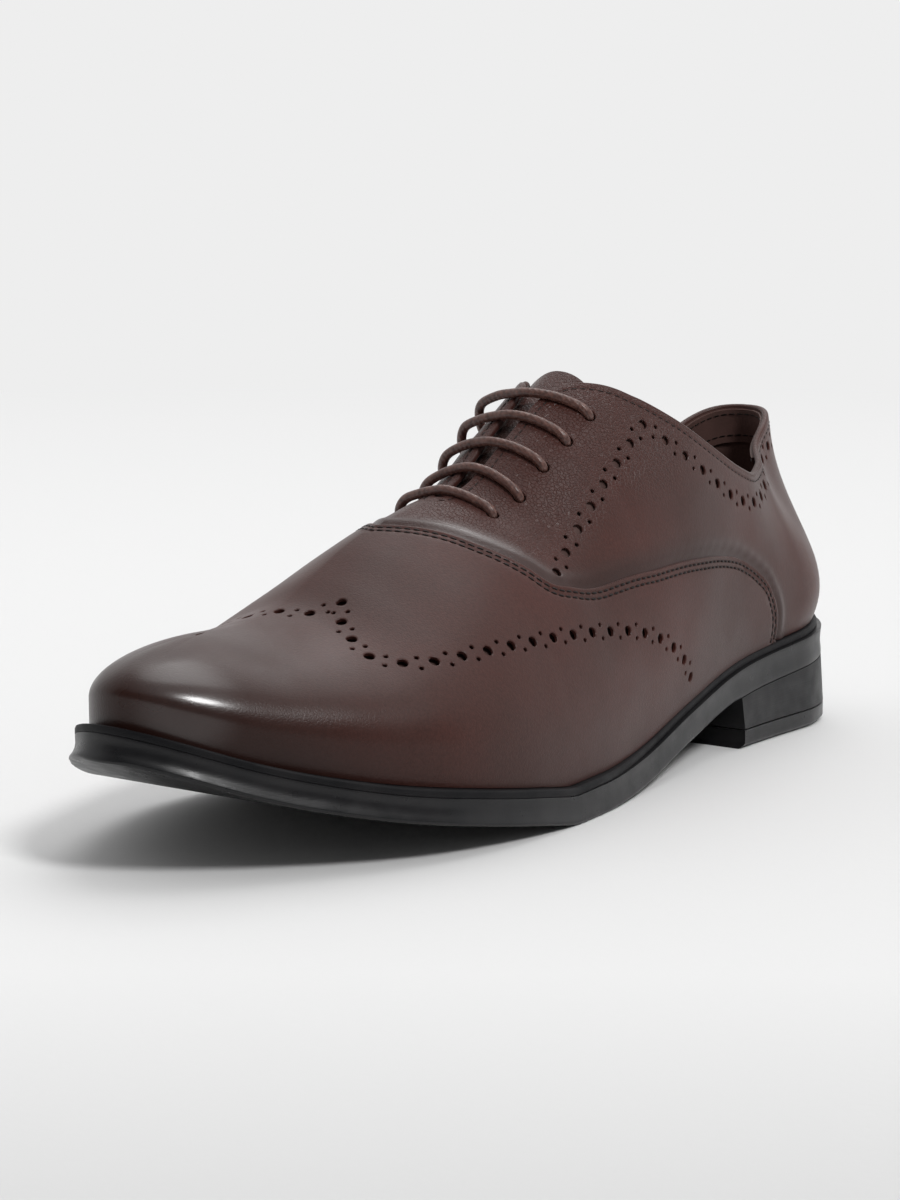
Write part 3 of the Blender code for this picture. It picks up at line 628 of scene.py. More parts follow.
def swept(name, sections, material, closed=False, replaced=(), sharp=40):
    """A body through closed sections of equal count; a ring when closed, capped when not."""
    sections = np.asarray(sections)
    rows, count = sections.shape[:2]
    faces = strips(rows, count, closed=closed)
    if not closed:
        faces.append(tuple(range(count))[::-1])
        faces.append(tuple((rows - 1) * count + k for k in range(count)))
    return new_mesh(name, sections.reshape(-1, 3), faces, material, replaced, sharp)


def tube(points, radius, sides):
    """Sections of a round tube along a smooth line."""
    points = np.asarray(points, float)
    ahead = np.gradient(points, axis=0)
    ahead /= np.linalg.norm(ahead, axis=1, keepdims=True)
    across = np.cross(ahead[0], (0, 1, 0.1))
    sections = []
    turn = np.arange(sides) / sides * 2 * math.pi
    for point, way in zip(points, ahead):
        across = across - way * (across @ way)
        across /= np.linalg.norm(across)
        over = np.cross(way, across)
        sections.append(point + radius * (np.cos(turn)[:, None] * across + np.sin(turn)[:, None] * over))
    return np.array(sections)


STITCH = 2.0 * MM
STITCH_GAP = 0.55 * MM
THREAD = 0.42 * MM
# Sections of a stitch: place as a share of its length, width and lift as shares of the thread's radius
STITCH_SHAPE = [(-0.5, 0.25, -0.55), (-0.36, 0.85, 0.0), (0.0, 1.0, 0.25),
                (0.36, 0.85, 0.0), (0.5, 0.25, -0.55)]
STITCH_SIDES = 6


def stitch_row(name, chart, level, thread=THREAD, sunk=0.1 * MM):
    """A row of separate stitches along a chart curve, as one mesh."""
    fine = spaced(chart, 0.35 * MM)
    points, _, _, normal = axes(fine)
    points = points + normal * (level - sunk)
    run = lengths(points)
    turn = np.arange(STITCH_SIDES) / STITCH_SIDES * 2 * math.pi
    verts, faces = [], []
    for start in np.arange(STITCH_GAP, run[-1] - STITCH, STITCH + STITCH_GAP):
        middle = start + STITCH / 2
        rings = []
        for share, width, lift in STITCH_SHAPE:
            at = middle + share * STITCH
            centre = np.array([np.interp(at, run, points[:, i]) for i in range(3)])
            up = np.array([np.interp(at, run, normal[:, i]) for i in range(3)])
            i = min(max(np.searchsorted(run, at), 1), len(run) - 1)
            way = points[i] - points[i - 1]
            across = np.cross(way, up)
            across /= np.linalg.norm(across)
            centre = centre + up * lift * thread / 2
            rings.append(centre + thread / 2 * width * (np.cos(turn)[:, None] * across
                                                        + np.sin(turn)[:, None] * up))
        base = len(verts)
        verts.extend(np.vstack(rings))
        end = len(verts) - STITCH_SIDES
        faces += strips(len(STITCH_SHAPE), STITCH_SIDES, base)
        faces.append(tuple(range(base, base + STITCH_SIDES))[::-1])
        faces.append(tuple(range(end, end + STITCH_SIDES)))
    return new_mesh(name, verts, faces, SEWING, sharp=60)


# Materials

def set_range(made, *limits):
    """A map range node's limits: from low to high, to low to high."""
    for key, number in zip(("From Min", "From Max", "To Min", "To Max"), limits):
        made.inputs[key].default_value = number


class Surface:
    """A node material built step by step."""

    def __init__(self, name, colour, roughness, **settings):
        self.material = bpy.data.materials.new(name)
        self.material.use_nodes = True
        self.tree = self.material.node_tree
        self.shader = self.tree.nodes["Principled BSDF"]
        self.shader.inputs["Base Color"].default_value = (*colour, 1)
        self.shader.inputs["Roughness"].default_value = roughness
        for key, value in settings.items():
            self.shader.inputs[key.replace("_", " ")].default_value = value
        self.place = self.tree.nodes.new("ShaderNodeTexCoord").outputs["Object"]
        self.bumps = None

    def fill(self, socket, value):
        """Link an input to another node, or set its number or colour."""
        if isinstance(value, bpy.types.NodeSocket):
            self.tree.links.new(value, socket)
        else:
            socket.default_value = (*value, 1) if socket.type == "RGBA" else value

    def node(self, kind, **inputs):
        made = self.tree.nodes.new(kind)
        for key, value in inputs.items():
            self.fill(made.inputs[key.replace("_", " ")], value)
        return made

    def stretch(self, scale):
        """The place on the shoe with each axis scaled."""
        made = self.node("ShaderNodeMapping", Vector=self.place)
        made.inputs["Scale"].default_value = scale
        return made.outputs[0]

    def noise(self, scale, detail=2.0, roughness=0.5, vector=None):
        vector = vector or self.place
        return self.node("ShaderNodeTexNoise", Vector=vector, Scale=scale, Detail=detail,
                         Roughness=roughness).outputs["Fac"]

    def cells(self, scale):
        """Distance to the nearest border between small cells."""
        made = self.node("ShaderNodeTexVoronoi", Vector=self.place, Scale=scale)
        made.feature = "DISTANCE_TO_EDGE"
        return made.outputs["Distance"]

    def kept(self, name):
        """A number that the mesh keeps for each vertex."""
        made = self.tree.nodes.new("ShaderNodeAttribute")
        made.attribute_name = name
        return made.outputs["Fac"]

    def span(self, value, low, high, new_low, new_high):
        made = self.node("ShaderNodeMapRange", Value=value)
        set_range(made, low, high, new_low, new_high)
        return made.outputs[0]

    def maths(self, operation, a, b):
        made = self.tree.nodes.new("ShaderNodeMath")
        made.operation = operation
        self.fill(made.inputs[0], a)
        self.fill(made.inputs[1], b)
        return made.outputs[0]

    def mix(self, share, a, b):
        """Colour a where share is 0, b where it is 1."""
        made = self.tree.nodes.new("ShaderNodeMix")
        made.data_type = "RGBA"
        self.fill(made.inputs["Factor"], share)
        self.fill(made.inputs[6], a)
        self.fill(made.inputs[7], b)
        return made.outputs[2]

    def bump(self, height, depth):
        """Raise the surface by depth metres where height is 1."""
        made = self.node("ShaderNodeBump", Height=height, Strength=1.0, Distance=depth)
        if self.bumps:
            self.tree.links.new(self.bumps, made.inputs["Normal"])
        self.bumps = made.outputs[0]
        self.tree.links.new(self.bumps, self.shader.inputs["Normal"])

    def colour(self, socket):
        self.tree.links.new(socket, self.shader.inputs["Base Color"])

    def coat(self, socket):
        self.tree.links.new(socket, self.shader.inputs["Coat Weight"])

    def roughness(self, socket):
        self.tree.links.new(socket, self.shader.inputs["Roughness"])


BROWN = (0.059, 0.019, 0.014)
BROWN_RED = (0.067, 0.019, 0.014)
BROWN_GREY = (0.052, 0.020, 0.016)
BURNISH_AND_SHADE_BROWN = (0.020, 0.007, 0.005)


def leather():
    """Waxed brown calf: fine grain, pebbled facings, darker where burnished and where painted shade lies,
    glossy where it shines.
    """
    made = Surface("brown_calf", BROWN, 0.40, Specular_IOR_Level=0.25, Coat_Roughness=0.20,
                   Sheen_Weight=0.10, Sheen_Roughness=0.30)
    cloud = made.noise(22.0, 3.0)
    base = made.mix(made.span(cloud, 0.35, 0.65, 0, 1), BROWN_RED, BROWN_GREY)
    speck = made.span(made.noise(1100.0, 2.0), 0.35, 0.7, 0.0, 0.30)
    base = made.mix(speck, base, BURNISH_AND_SHADE_BROWN)
    # Burnish and painted shade: the colour darkens where the toe is burnished and where the tongue lies in
    # shade under the facings.
    made.colour(made.mix(made.kept("burnish"), base, BURNISH_AND_SHADE_BROWN))
    smear = made.span(made.noise(60.0, 3.0), 0.3, 0.7, 0.37, 0.47)
    made.roughness(made.maths("SUBTRACT", smear, made.maths("MULTIPLY", made.kept("burnish"), 0.12)))
    made.coat(made.maths("ADD", made.maths("MULTIPLY", made.kept("shine"), 0.9), 0.03))
    made.bump(made.noise(2300.0, 2.0, 0.6), 0.00004)
    pebble = made.span(made.cells(900.0), 0.0, 0.14, 0, 1)
    made.bump(made.maths("MULTIPLY", pebble, made.kept("pebble")), 0.00011)
    made.bump(made.maths("MULTIPLY", made.noise(330.0, 3.0), made.kept("pebble")), 0.00016)
    return made.material


def lining_leather():
    made = Surface("lining_leather", (0.080, 0.042, 0.036), 0.6, Specular_IOR_Level=0.3)
    cloud = made.span(made.noise(45.0, 3.0), 0.35, 0.65, 0, 1)
    made.colour(made.mix(cloud, (0.065, 0.034, 0.029), (0.110, 0.058, 0.050)))
    made.bump(made.noise(1300.0, 3.0), 0.00005)
    return made.material


def thread_wax(name, colour):
    made = Surface(name, colour, 0.5, Specular_IOR_Level=0.25)
    made.bump(made.noise(4000.0, 2.0), 0.00002)
    return made.material


def lace_cotton():
    """Round waxed cotton with a fine slanting braid."""
    made = Surface("lace_cotton", (0.090, 0.040, 0.030), 0.40, Specular_IOR_Level=0.45, Coat_Weight=0.15,
                   Coat_Roughness=0.25)
    tone = made.span(made.noise(900.0, 2.0), 0.3, 0.7, 0, 1)
    made.colour(made.mix(tone, (0.055, 0.022, 0.017), (0.150, 0.070, 0.055)))
    braid = made.tree.nodes.new("ShaderNodeTexWave")
    braid.bands_direction = "DIAGONAL"
    made.tree.links.new(made.place, braid.inputs["Vector"])
    braid.inputs["Scale"].default_value = 330.0
    braid.inputs["Distortion"].default_value = 1.0
    made.bump(braid.outputs["Fac"], 0.00006)
    made.bump(made.noise(1600.0, 3.0), 0.00006)
    return made.material


def sole_rubber(name, roughness, scratch, gloss=0.3):
    """Black moulded rubber with fine lines along the shoe."""
    made = Surface(name, (0.010, 0.010, 0.011), roughness, Specular_IOR_Level=gloss)
    dust = made.span(made.noise(70.0, 4.0), 0.35, 0.75, 0, 1)
    made.colour(made.mix(dust, (0.007, 0.007, 0.008), (0.015, 0.014, 0.015)))
    made.roughness(made.span(made.noise(180.0, 3.0), 0.3, 0.7, roughness - 0.06, roughness + 0.08))
    made.bump(made.noise(1.0, 2.0, 0.5, made.stretch((90, 90, 2600))), scratch)
    made.bump(made.noise(2200.0, 2.0), 0.00002)
    return made.material


LEATHER = leather()
LINING = lining_leather()
SEWING = thread_wax("sewing_thread", (0.008, 0.004, 0.003))
LACE = lace_cotton()
RUBBER = sole_rubber("sole_rubber", 0.32, 0.00002)
HEEL_RUBBER = sole_rubber("heel_rubber", 0.46, 0.00006)
WELT_RUBBER = sole_rubber("welt_rubber", 0.5, 0.00002, 0.12)

# Curves on the upper

OUTER_B = (FIRST_B, OVER)
INNER_B = (OVER, LAST_B)
FRONT_SHARE = 0.648
# The facing's top corner from above, x and s in mm, and how much of that x the inner side has
CORNER = [(14.6, 123.2), (11.4, 126.4), (8.6, 129.2), (6.4, 132.4), (5.2, 136.0)]
INNER_CORNER = 0.86
# Lines of holes on the outer side, in mm: (x, s, z), and (s, z) under the collar
PERFORATED_QUARTER = [(33, 169, 63), (30.4, 159.3, 69.1), (29.5, 151.6, 74.9), (28.8, 143.8, 80.8),
                      (27.7, 135.4, 86.7), (27, 126.6, 92.5), (25.7, 116.4, 98.7)]
PERFORATED_COLLAR = [(108, 92.7), (98.4, 86.7), (88.9, 81.1), (80.1, 76.6), (71.9, 73.7), (64, 72.2),
                     (57, 72.2), (50, 73.6), (42, 76.5), (34, 80), (26, 83.8), (20, 86.2), (15.5, 87.6)]
PERFORATED_WING = [(5.5, 225.7, 58.8), (8.8, 230.2, 56), (13.9, 234.4, 53.3), (24.8, 239, 50.8),
                   (32.5, 233.7, 48.2), (36.6, 225.3, 47.5), (38.9, 216, 47.8), (40.6, 206.2, 48),
                   (41.4, 195.2, 48.1), (41.9, 183.3, 48), (42.4, 172.2, 47.6), (42.5, 160.7, 46.8),
                   (42.4, 150.1, 45.7), (42.2, 139.6, 43.6), (41.7, 128.6, 39.7), (40.1, 117.4, 33.3),
                   (38.5, 111.5, 27.5)]


def b_range(side):
    return OUTER_B if side > 0 else INNER_B


def seam_curve():
    """The vamp's edge from the outer feather over the ridge to the inner feather."""
    rows = [(0, at * SOLE_LENGTH, height * INSTEP_HEIGHT) for at, height in VAMP_SEAM[1:-2]]
    outer, inner = (find(rows, SIDE_VIEW, *b_range(side)) for side in SIDES)
    s = FRONT_SHARE * SOLE_LENGTH
    front = from_above([(ridge(s)[0], s, 0)])
    return spaced(smooth(np.vstack([outer, front, inner[::-1]])), 1.1 * MM)


def top_curve(side):
    """The collar's edge from the back to the facing's corner."""
    a = np.concatenate([np.arange(0, 12, 1.0), np.arange(12, 170, 2.0)])
    b = np.arange(0, OVER, 0.5)
    grid = np.stack(np.meshgrid(a, b, indexing="ij"), axis=-1).reshape(-1, 2)
    if side < 0:
        grid[:, 1] = 2 * OVER - grid[:, 1]
    points = form(grid)
    over = points[:, 2] - topline(MIDDLE_S - points[:, 1], side)
    over = over.reshape(len(a), len(b))
    rows = []
    for i in range(len(a)):
        crossing = np.argmax(over[i] > 0)
        if crossing == 0:
            break
        share = -over[i, crossing - 1] / (over[i, crossing] - over[i, crossing - 1])
        rows.append((a[i], b[crossing - 1] + share * 0.5))
    rows = np.array(rows)
    if side < 0:
        rows[:, 1] = 2 * OVER - rows[:, 1]
    return rows


def slit_edge(side):
    """The facing's edge from its rounded top corner to the slit's round front end."""
    s = np.linspace(CORNER[-1][1] * MM + 4 * MM, SLIT_FRONT * SOLE_LENGTH, 12)
    reach = 1 if side > 0 else -INNER_CORNER
    rows = [(reach * x * MM, at * MM, 0) for x, at in CORNER]
    rows += [(ridge(at)[0] + side * slit_half(at), at, 0) for at in s]
    end = s[-1]
    half = slit_half(end)
    for angle in (30, 60, 90):
        turn = math.radians(angle)
        at = end + 0.8 * half * math.sin(turn)
        rows.append((ridge(at)[0] + side * half * math.cos(turn), at, 0))
    return from_above(rows, 30)


def rim_curve(side):
    """The whole open edge of one side, from the back seam to the slit's front end."""
    top = top_curve(side)
    s = MIDDLE_S - form(top)[:, 1]
    return spaced(smooth(np.vstack([top[s < (CORNER[0][1] - 3) * MM], slit_edge(side)]), 6), 1.0 * MM)


def mirrored(rows, side):
    return [(side * x * MM, s * MM, z * MM) for x, s, z in rows]


# Radii of the holes, the way from one large hole to the next, and from the line to a small one
LARGE_HOLE = 1.45 * MM
SMALL_HOLE = 0.62 * MM
HOLE_PITCH = 8.8 * MM
PAIR_SPREAD = 1.85 * MM


def perforations(chart, skip_first=False):
    """Large holes along a curve, with a pair of small ones between each two."""
    fine = spaced(chart, 0.5 * MM)
    run = lengths(form(fine))
    count = int(round(run[-1] / HOLE_PITCH))
    pitch = run[-1] / count
    holes = []

    def at(distance, curve):
        return np.array([np.interp(distance, run, curve[:, i]) for i in (0, 1)])

    left, right = sideways(fine, PAIR_SPREAD), sideways(fine, -PAIR_SPREAD)
    for i in range(count + 1):
        if i or not skip_first:
            holes.append((at(i * pitch, fine), LARGE_HOLE, 14))
        if i < count:
            middle = (i + 0.5) * pitch
            holes += [(at(middle, curve), SMALL_HOLE, 10) for curve in (left, right)]
    return holes


SEAM = seam_curve()
RIM = {side: rim_curve(side) for side in SIDES}
SEAM_LAP = 9 * MM
SEAM_MIDDLE = len(SEAM) // 2
VAMP_SIDE = 1 if sideways(SEAM, 2 * MM)[SEAM_MIDDLE, 0] > SEAM[SEAM_MIDDLE, 0] else -1


def quarter_holes(side):
    """The perforated line of one quarter: up along the facing, then back under the collar."""
    climb = find(mirrored(PERFORATED_QUARTER, side), NEAREST, *b_range(side))
    higher = 0 if side > 0 else (COLLAR_DIP_OUTER - COLLAR_DIP_INNER)
    rows = [(0, s * MM, z * MM + higher * TOPLINE.read("dip", s * MM / SOLE_LENGTH))
            for s, z in PERFORATED_COLLAR]
    under = find(rows, SIDE_VIEW, *b_range(side))
    back = smooth(np.vstack([climb[-1:], under]), 6)
    back = back[back[:, 0] > 6.0]
    return perforations(smooth(climb)) + perforations(back, skip_first=True)


def wing_curve(side):
    """The perforated wing on one side of the vamp, from its peak to the feather near the heel."""
    if side > 0:
        return smooth(find(mirrored(PERFORATED_WING, 1), NEAREST, *OUTER_B))
    peak_x = PERFORATED_WING[0][0]
    near = [(2 * peak_x - x, s, z) for x, s, z in PERFORATED_WING[:4]]
    start = find(mirrored(near, 1), TOP_VIEW, 40, 2 * OVER)
    rest = find(mirrored(PERFORATED_WING[4:], 1), SIDE_VIEW, *INNER_B)
    return smooth(np.vstack([start, rest]))


# The leather panels

LACE_HOLES = []
for row in range(LACE_ROWS):
    lace_s = (LACE_FRONT + (LACE_BACK - LACE_FRONT) * row / (LACE_ROWS - 1)) * SOLE_LENGTH
    lace_out = slit_half(lace_s) + LACE_INSET
    LACE_HOLES.append(from_above([(ridge(lace_s)[0] + side * lace_out, lace_s, 0) for side in SIDES]))


def eyelets(count):
    """The lace holes of a panel, as rings of count points."""
    return [(centre, LACE_HOLE_DIAMETER / 2, count) for pair in LACE_HOLES for centre in pair]


def run_between(first, last, step=1.2):
    """Straight chart points from first towards last, without the last."""
    first, last = np.array(first, float), np.array(last, float)
    count = max(int(np.linalg.norm(last - first) / step), 1)
    return first + (last - first) * np.arange(count)[:, None] / count


def closed_border(pieces):
    """One closed chart border from pieces of (points, finished)."""
    points = np.vstack([piece for piece, _ in pieces])
    finished = np.concatenate([[flag] * len(piece) for piece, flag in pieces])
    keep = np.ones(len(points), bool)
    keep[1:] = np.linalg.norm(np.diff(points, axis=0), axis=1) > 0.2
    return points[keep], finished[keep]


def rounded(distance, radius):
    """How far a rounded edge drops at a distance from it."""
    part = np.clip(1 - distance / radius, 0, 1)
    return radius * (1 - np.sqrt(np.maximum(1 - part ** 2, 0)))


def groove(distance, places, depth):
    """The furrows in which rows of stitches lie."""
    return sum(depth * np.exp(-((distance - at) / GROOVE_WIDTH) ** 2) for at in places)


def ramp(value, low, high):
    t = np.clip((value - low) / (high - low), 0, 1)
    return t * t * (3 - 2 * t)


# Thickness of the panels and roundness of their edges
VAMP_LEATHER = 1.0 * MM
VAMP_EDGE = 0.5 * MM
QUARTER_LEATHER = 1.15 * MM
QUARTER_EDGE = 0.35 * MM
PANEL_SPACING = 1.35
LINING_LEVEL = -1.2 * MM
LINING_THICKNESS = 0.78 * MM
LINING_SPACING = 3.0
# Rows of stitches: how far from the edge, and how deep
VAMP_ROWS = (1.5 * MM, 3.1 * MM)
VAMP_GROOVE = 0.34 * MM
VAMP_THREAD = 0.62 * MM
TOP_ROW = 2.2 * MM
TOP_GROOVE = 0.2 * MM
GROOVE_WIDTH = 0.42 * MM
HOLE_LIP = 0.3 * MM
HOLE_LIP_SHARE = 0.7
# The swelling of the quarters beside the vamp's edge
SWELL = 0.5 * MM
SWELL_AT = 3.0 * MM
SWELL_WIDTH = 1.5 * MM


# Darker colour: burnished lengthwise at the toe, and darker by the height over the welt
TOE_DARK = (236 * MM, 300 * MM)
WELT_DARK = (2 * MM, 16 * MM)


def burnish_at(points):
    """How dark the colour is: burnished at the toe, and a little darker low along the welt."""
    s = MIDDLE_S - points[:, 1]
    z = points[:, 2]
    toe = ramp(s, *TOE_DARK)
    low = 1 - ramp(z - sole_top(s), *WELT_DARK)
    return np.clip(0.85 * toe + 0.30 * low * (0.4 + ramp(s, 180 * MM, 280 * MM)), 0, 0.92)


# Waxed places: world middle and reach, in mm
TOE_SHINE = ((11, -139, 43), 16)
SEAM_SHINE = ((24, -31, 69), 26)


def spot(points, middle, reach):
    """How much each point lies in a given shiny area."""
    off = np.linalg.norm(points - np.array(middle) * MM, axis=1)
    return 1 - ramp(off, 0.35 * reach * MM, reach * MM)


def build_vamp():
    pieces = [(SEAM, True),
              (run_between(SEAM[-1], TOE_INNER), False),
              (run_between(TOE_INNER, TOE_OUTER), False),
              (run_between(TOE_OUTER, SEAM[0]), False)]
    border, finished = closed_border(pieces)
    holes = perforations(wing_curve(1)) + perforations(wing_curve(-1), skip_first=True)
    panel = Panel(border, finished, holes, PANEL_SPACING)
    level = VAMP_STEP - rounded(panel.edge, VAMP_EDGE) - groove(panel.edge, VAMP_ROWS, VAMP_GROOVE)
    level = level - rounded(panel.rim, HOLE_LIP) * HOLE_LIP_SHARE
    made = panel.build("vamp", level, VAMP_LEATHER, LEATHER, ["upper"], welded=(END,))
    both = np.concatenate([panel.points, panel.points])
    give(made, burnish=burnish_at(both), shine=spot(both, *TOE_SHINE), pebble=0.12)
    for number, distance in enumerate(VAMP_ROWS, start=1):
        row = sideways(SEAM, panel.inward * distance)
        stitch_row("vamp_stitches_%d" % number, row, VAMP_STEP - 0.12 * MM, VAMP_THREAD)


def build_quarters():
    lap = sideways(SEAM, VAMP_SIDE * SEAM_LAP)
    lap[:, 1] = np.clip(lap[:, 1], FIRST_B, LAST_B)
    lap[0, 1], lap[-1, 1] = FIRST_B, LAST_B
    outer, inner = RIM[1], RIM[-1]
    pieces = [(run_between(HEEL_OUTER, lap[0]), False),
              (lap, False),
              (run_between(lap[-1], HEEL_INNER), False),
              (run_between(HEEL_INNER, inner[0]), True),
              (inner, True),
              (outer[::-1], True),
              (run_between(outer[0], HEEL_OUTER), True)]
    border, finished = closed_border(pieces)
    holes = [hole for side in SIDES for hole in quarter_holes(side)]
    panel = Panel(border, finished, holes + eyelets(18), PANEL_SPACING)
    level = -rounded(panel.edge, QUARTER_EDGE) - groove(panel.edge, (TOP_ROW,), TOP_GROOVE)
    level = level - rounded(panel.rim, HOLE_LIP) * HOLE_LIP_SHARE
    seam = tree_of(form(spaced(SEAM, 0.6 * MM)))
    off = nearest(seam, panel.points)[0]
    level = level + SWELL * np.exp(-((off - SWELL_AT) / SWELL_WIDTH) ** 2)
    made = panel.build("quarters", level, QUARTER_LEATHER, LEATHER, ["upper"])
    both = np.concatenate([panel.points, panel.points])
    # The quarter is darker, glossier and less pebbled within a few mm of the vamp's edge.
    pressed = 1 - ramp(nearest(seam, both)[0], 2 * MM, 9 * MM)
    slit = tree_of(form(np.vstack([slit_edge(side) for side in SIDES])))
    facing = 1 - ramp(nearest(slit, both)[0], 22 * MM, 42 * MM)
    give(made, burnish=np.clip(burnish_at(both) + 0.6 * pressed, 0, 0.9),
         shine=spot(both, *SEAM_SHINE) * pressed, pebble=(0.15 + 0.85 * facing) * (1 - 0.7 * pressed))
    return panel


def rim_frame():
    """World points, normals and outward ways all round the open edge, for the rolled edge."""
    rows = []
    for side in SIDES:
        chart = RIM[side]
        points, _, _, normal = axes(chart)
        ahead = np.gradient(points, axis=0)
        out = np.cross(normal, ahead)
        out /= np.linalg.norm(out, axis=1, keepdims=True)
        back = out[0] @ np.array([0, 0, 1.0])
        out = out * (1 if back > 0 else -1)
        rows.append((points, normal, out))
    outer, inner = rows
    return [np.concatenate([o[::-1], i[1:-1]]) for o, i in zip(outer, inner)]


def build_rolled_edge():
    """The folded edge that closes the wall at the collar and along the slit."""
    points, normal, out = rim_frame()
    half = UPPER_WALL / 2
    centre = points - normal * half
    sections = []
    turn = np.radians(np.linspace(90, -90, 9))
    for angle in turn:
        sections.append(centre + half * (math.sin(angle) * normal + 0.75 * math.cos(angle) * out))
    sections.append(centre - 0.8 * half * normal - 0.6 * MM * out)
    sections.append(centre + 0.8 * half * normal - 0.6 * MM * out)
    made = swept("rolled_edge", np.stack(sections, axis=1), LEATHER, closed=True,
                 replaced=["upper"])
    give(made, burnish=0.1, pebble=0.2)


def build_lining():
    outer, inner = RIM[1], RIM[-1]
    corners = [HEEL_OUTER, TOE_OUTER, TOE_INNER, HEEL_INNER, inner[0]]
    pieces = [(run_between(start, end, LINING_SPACING), False) for start, end in zip(corners, corners[1:])]
    pieces += [(inner[::2], False), (outer[::-2], False),
               (run_between(outer[0], HEEL_OUTER, LINING_SPACING), False)]
    border, finished = closed_border(pieces)
    panel = Panel(border, finished, eyelets(14), LINING_SPACING, edge_rows=())
    panel.build("lining", LINING_LEVEL, LINING_THICKNESS, LINING, ["upper"], welded=(END, 0.0))


BAND_REACH = 42.0
BAND_WIDTH = 11 * MM
BAND_LEVEL = -1.9 * MM
BAND_THICKNESS = 0.85 * MM


def build_collar_band():
    """The folded band inside the back of the collar, with its two rows of stitches."""
    outer = RIM[1][RIM[1][:, 0] < BAND_REACH]
    inner = RIM[-1][RIM[-1][:, 0] < BAND_REACH].copy()
    inner = np.stack([-inner[:, 0], 2 * OVER - inner[:, 1]], axis=1)
    edge = np.vstack([inner[::-1], outer[1:]])
    probe = sideways(edge, 1 * MM)
    down = 1 if (form(probe)[:, 2] < form(edge)[:, 2]).mean() > 0.5 else -1
    top, low = sideways(edge, down * 0.5 * MM), sideways(edge, down * BAND_WIDTH)
    pieces = [(top, False), (run_between(top[-1], low[-1]), False),
              (low[::-1], False), (run_between(low[0], top[0]), False)]
    border, finished = closed_border(pieces)
    panel = Panel(border, finished, (), spacing=2.0, edge_rows=())
    panel.build("collar_band", BAND_LEVEL, BAND_THICKNESS, LINING, ["upper"])
    for number, depth in enumerate((2.0, 8.8), start=1):
        row = sideways(edge, down * depth * MM)
        stitch_row("band_stitches_%d" % number, row, BAND_LEVEL - BAND_THICKNESS, sunk=0.05 * MM)


build_vamp()
QUARTERS = build_quarters()
build_rolled_edge()
build_lining()
build_collar_band()
for side in SIDES:
    edge = RIM[side]
    inward = QUARTERS.inward * (-1 if side > 0 else 1)
    name = "outer" if side > 0 else "inner"
    stitch_row("collar_stitches_" + name, sideways(edge, inward * TOP_ROW), -0.05 * MM)


# Tongue, lace and sock

TONGUE_SHOWN = 5.0 * MM
TONGUE_FLARE = 2.5 * MM
TONGUE_ROUND = 5.0 * MM
TONGUE_PRESSED = 1.9 * MM
# The tongue's end, where it isn't darkened by the shade under the facings
TONGUE_LIT = (22 * MM, 8 * MM)


def build_tongue():
    """The tongue, crowned under the slit and pressed down beside it, where the hidden lace runs."""
    back = SLIT_BACK * SOLE_LENGTH - TONGUE_SHOWN
    front = TONGUE_FRONT * SOLE_LENGTH
    rows, columns = 46, 36
    targets, share_across, share_along = [], [], []
    for i in range(rows + 1):
        along = i / rows
        s = front + (back - front) * along
        half = (TONGUE_WIDTH_FRONT + (TONGUE_WIDTH_BACK - TONGUE_WIDTH_FRONT) * along) / 2
        half += TONGUE_FLARE * float(ramp(along, 0.8, 1.0))
        for j in range(columns + 1):
            across = 2 * j / columns - 1
            shorter = TONGUE_ROUND * along ** 8 * abs(across) ** 3
            targets.append((ridge(s)[0] + half * across, s + shorter, 0))
            share_across.append(across)
            share_along.append(along)
    chart = from_above(targets)
    points, _, _, normal = axes(chart)
    across = np.abs(share_across)
    along = np.array(share_along)
    pressed = TONGUE_PRESSED * ramp(across, 0.25, 0.5) * (1 - ramp(along, 0.88, 1.0))
    depth = UPPER_WALL + TONGUE_GAP + pressed
    thick = TONGUE_THICKNESS * (1 - 0.45 * ramp(across, 0.85, 1.0))
    top = (points - normal * depth[:, None]).reshape(rows + 1, columns + 1, 3)
    low = (points - normal * (depth + thick)[:, None]).reshape(rows + 1, columns + 1, 3)
    sections = np.concatenate([top, low[:, ::-1]], axis=1)
    made = swept("tongue_leather", sections, LEATHER, replaced=["tongue"])
    # Painted shade: the tongue's colour darkens away from its end, where the facings shade it.
    to_end = points[:, 1].max() - np.array([vertex.co.y for vertex in made.data.vertices])
    painted_shade = 1 - ramp(to_end, *TONGUE_LIT)
    give(made, burnish=0.1 + 0.88 * painted_shade, pebble=0.8)


LACE_RADIUS = LACE_DIAMETER / 2
BAR_SHARES = (0.05, 0.13, 0.25, 0.37, 0.5, 0.63, 0.75, 0.87, 0.95)
BAR_REST = LACE_RADIUS * 0.75
# How far the inner end of each bar stands off the facing, and where along the bar
BAR_LOOP = (1.2 * MM, 1.3 * MM, 1.8 * MM, 2.8 * MM, 3.4 * MM)
LOOP_AT = 0.86
LOOP_WIDTH = 0.12
# How far the middle of each bar hangs towards the toe
BAR_BOW = (0.5 * MM, 0, 1.5 * MM, 2.2 * MM, 4.5 * MM)
UNDER_DEPTH = UPPER_WALL + LACE_RADIUS + 0.15 * MM


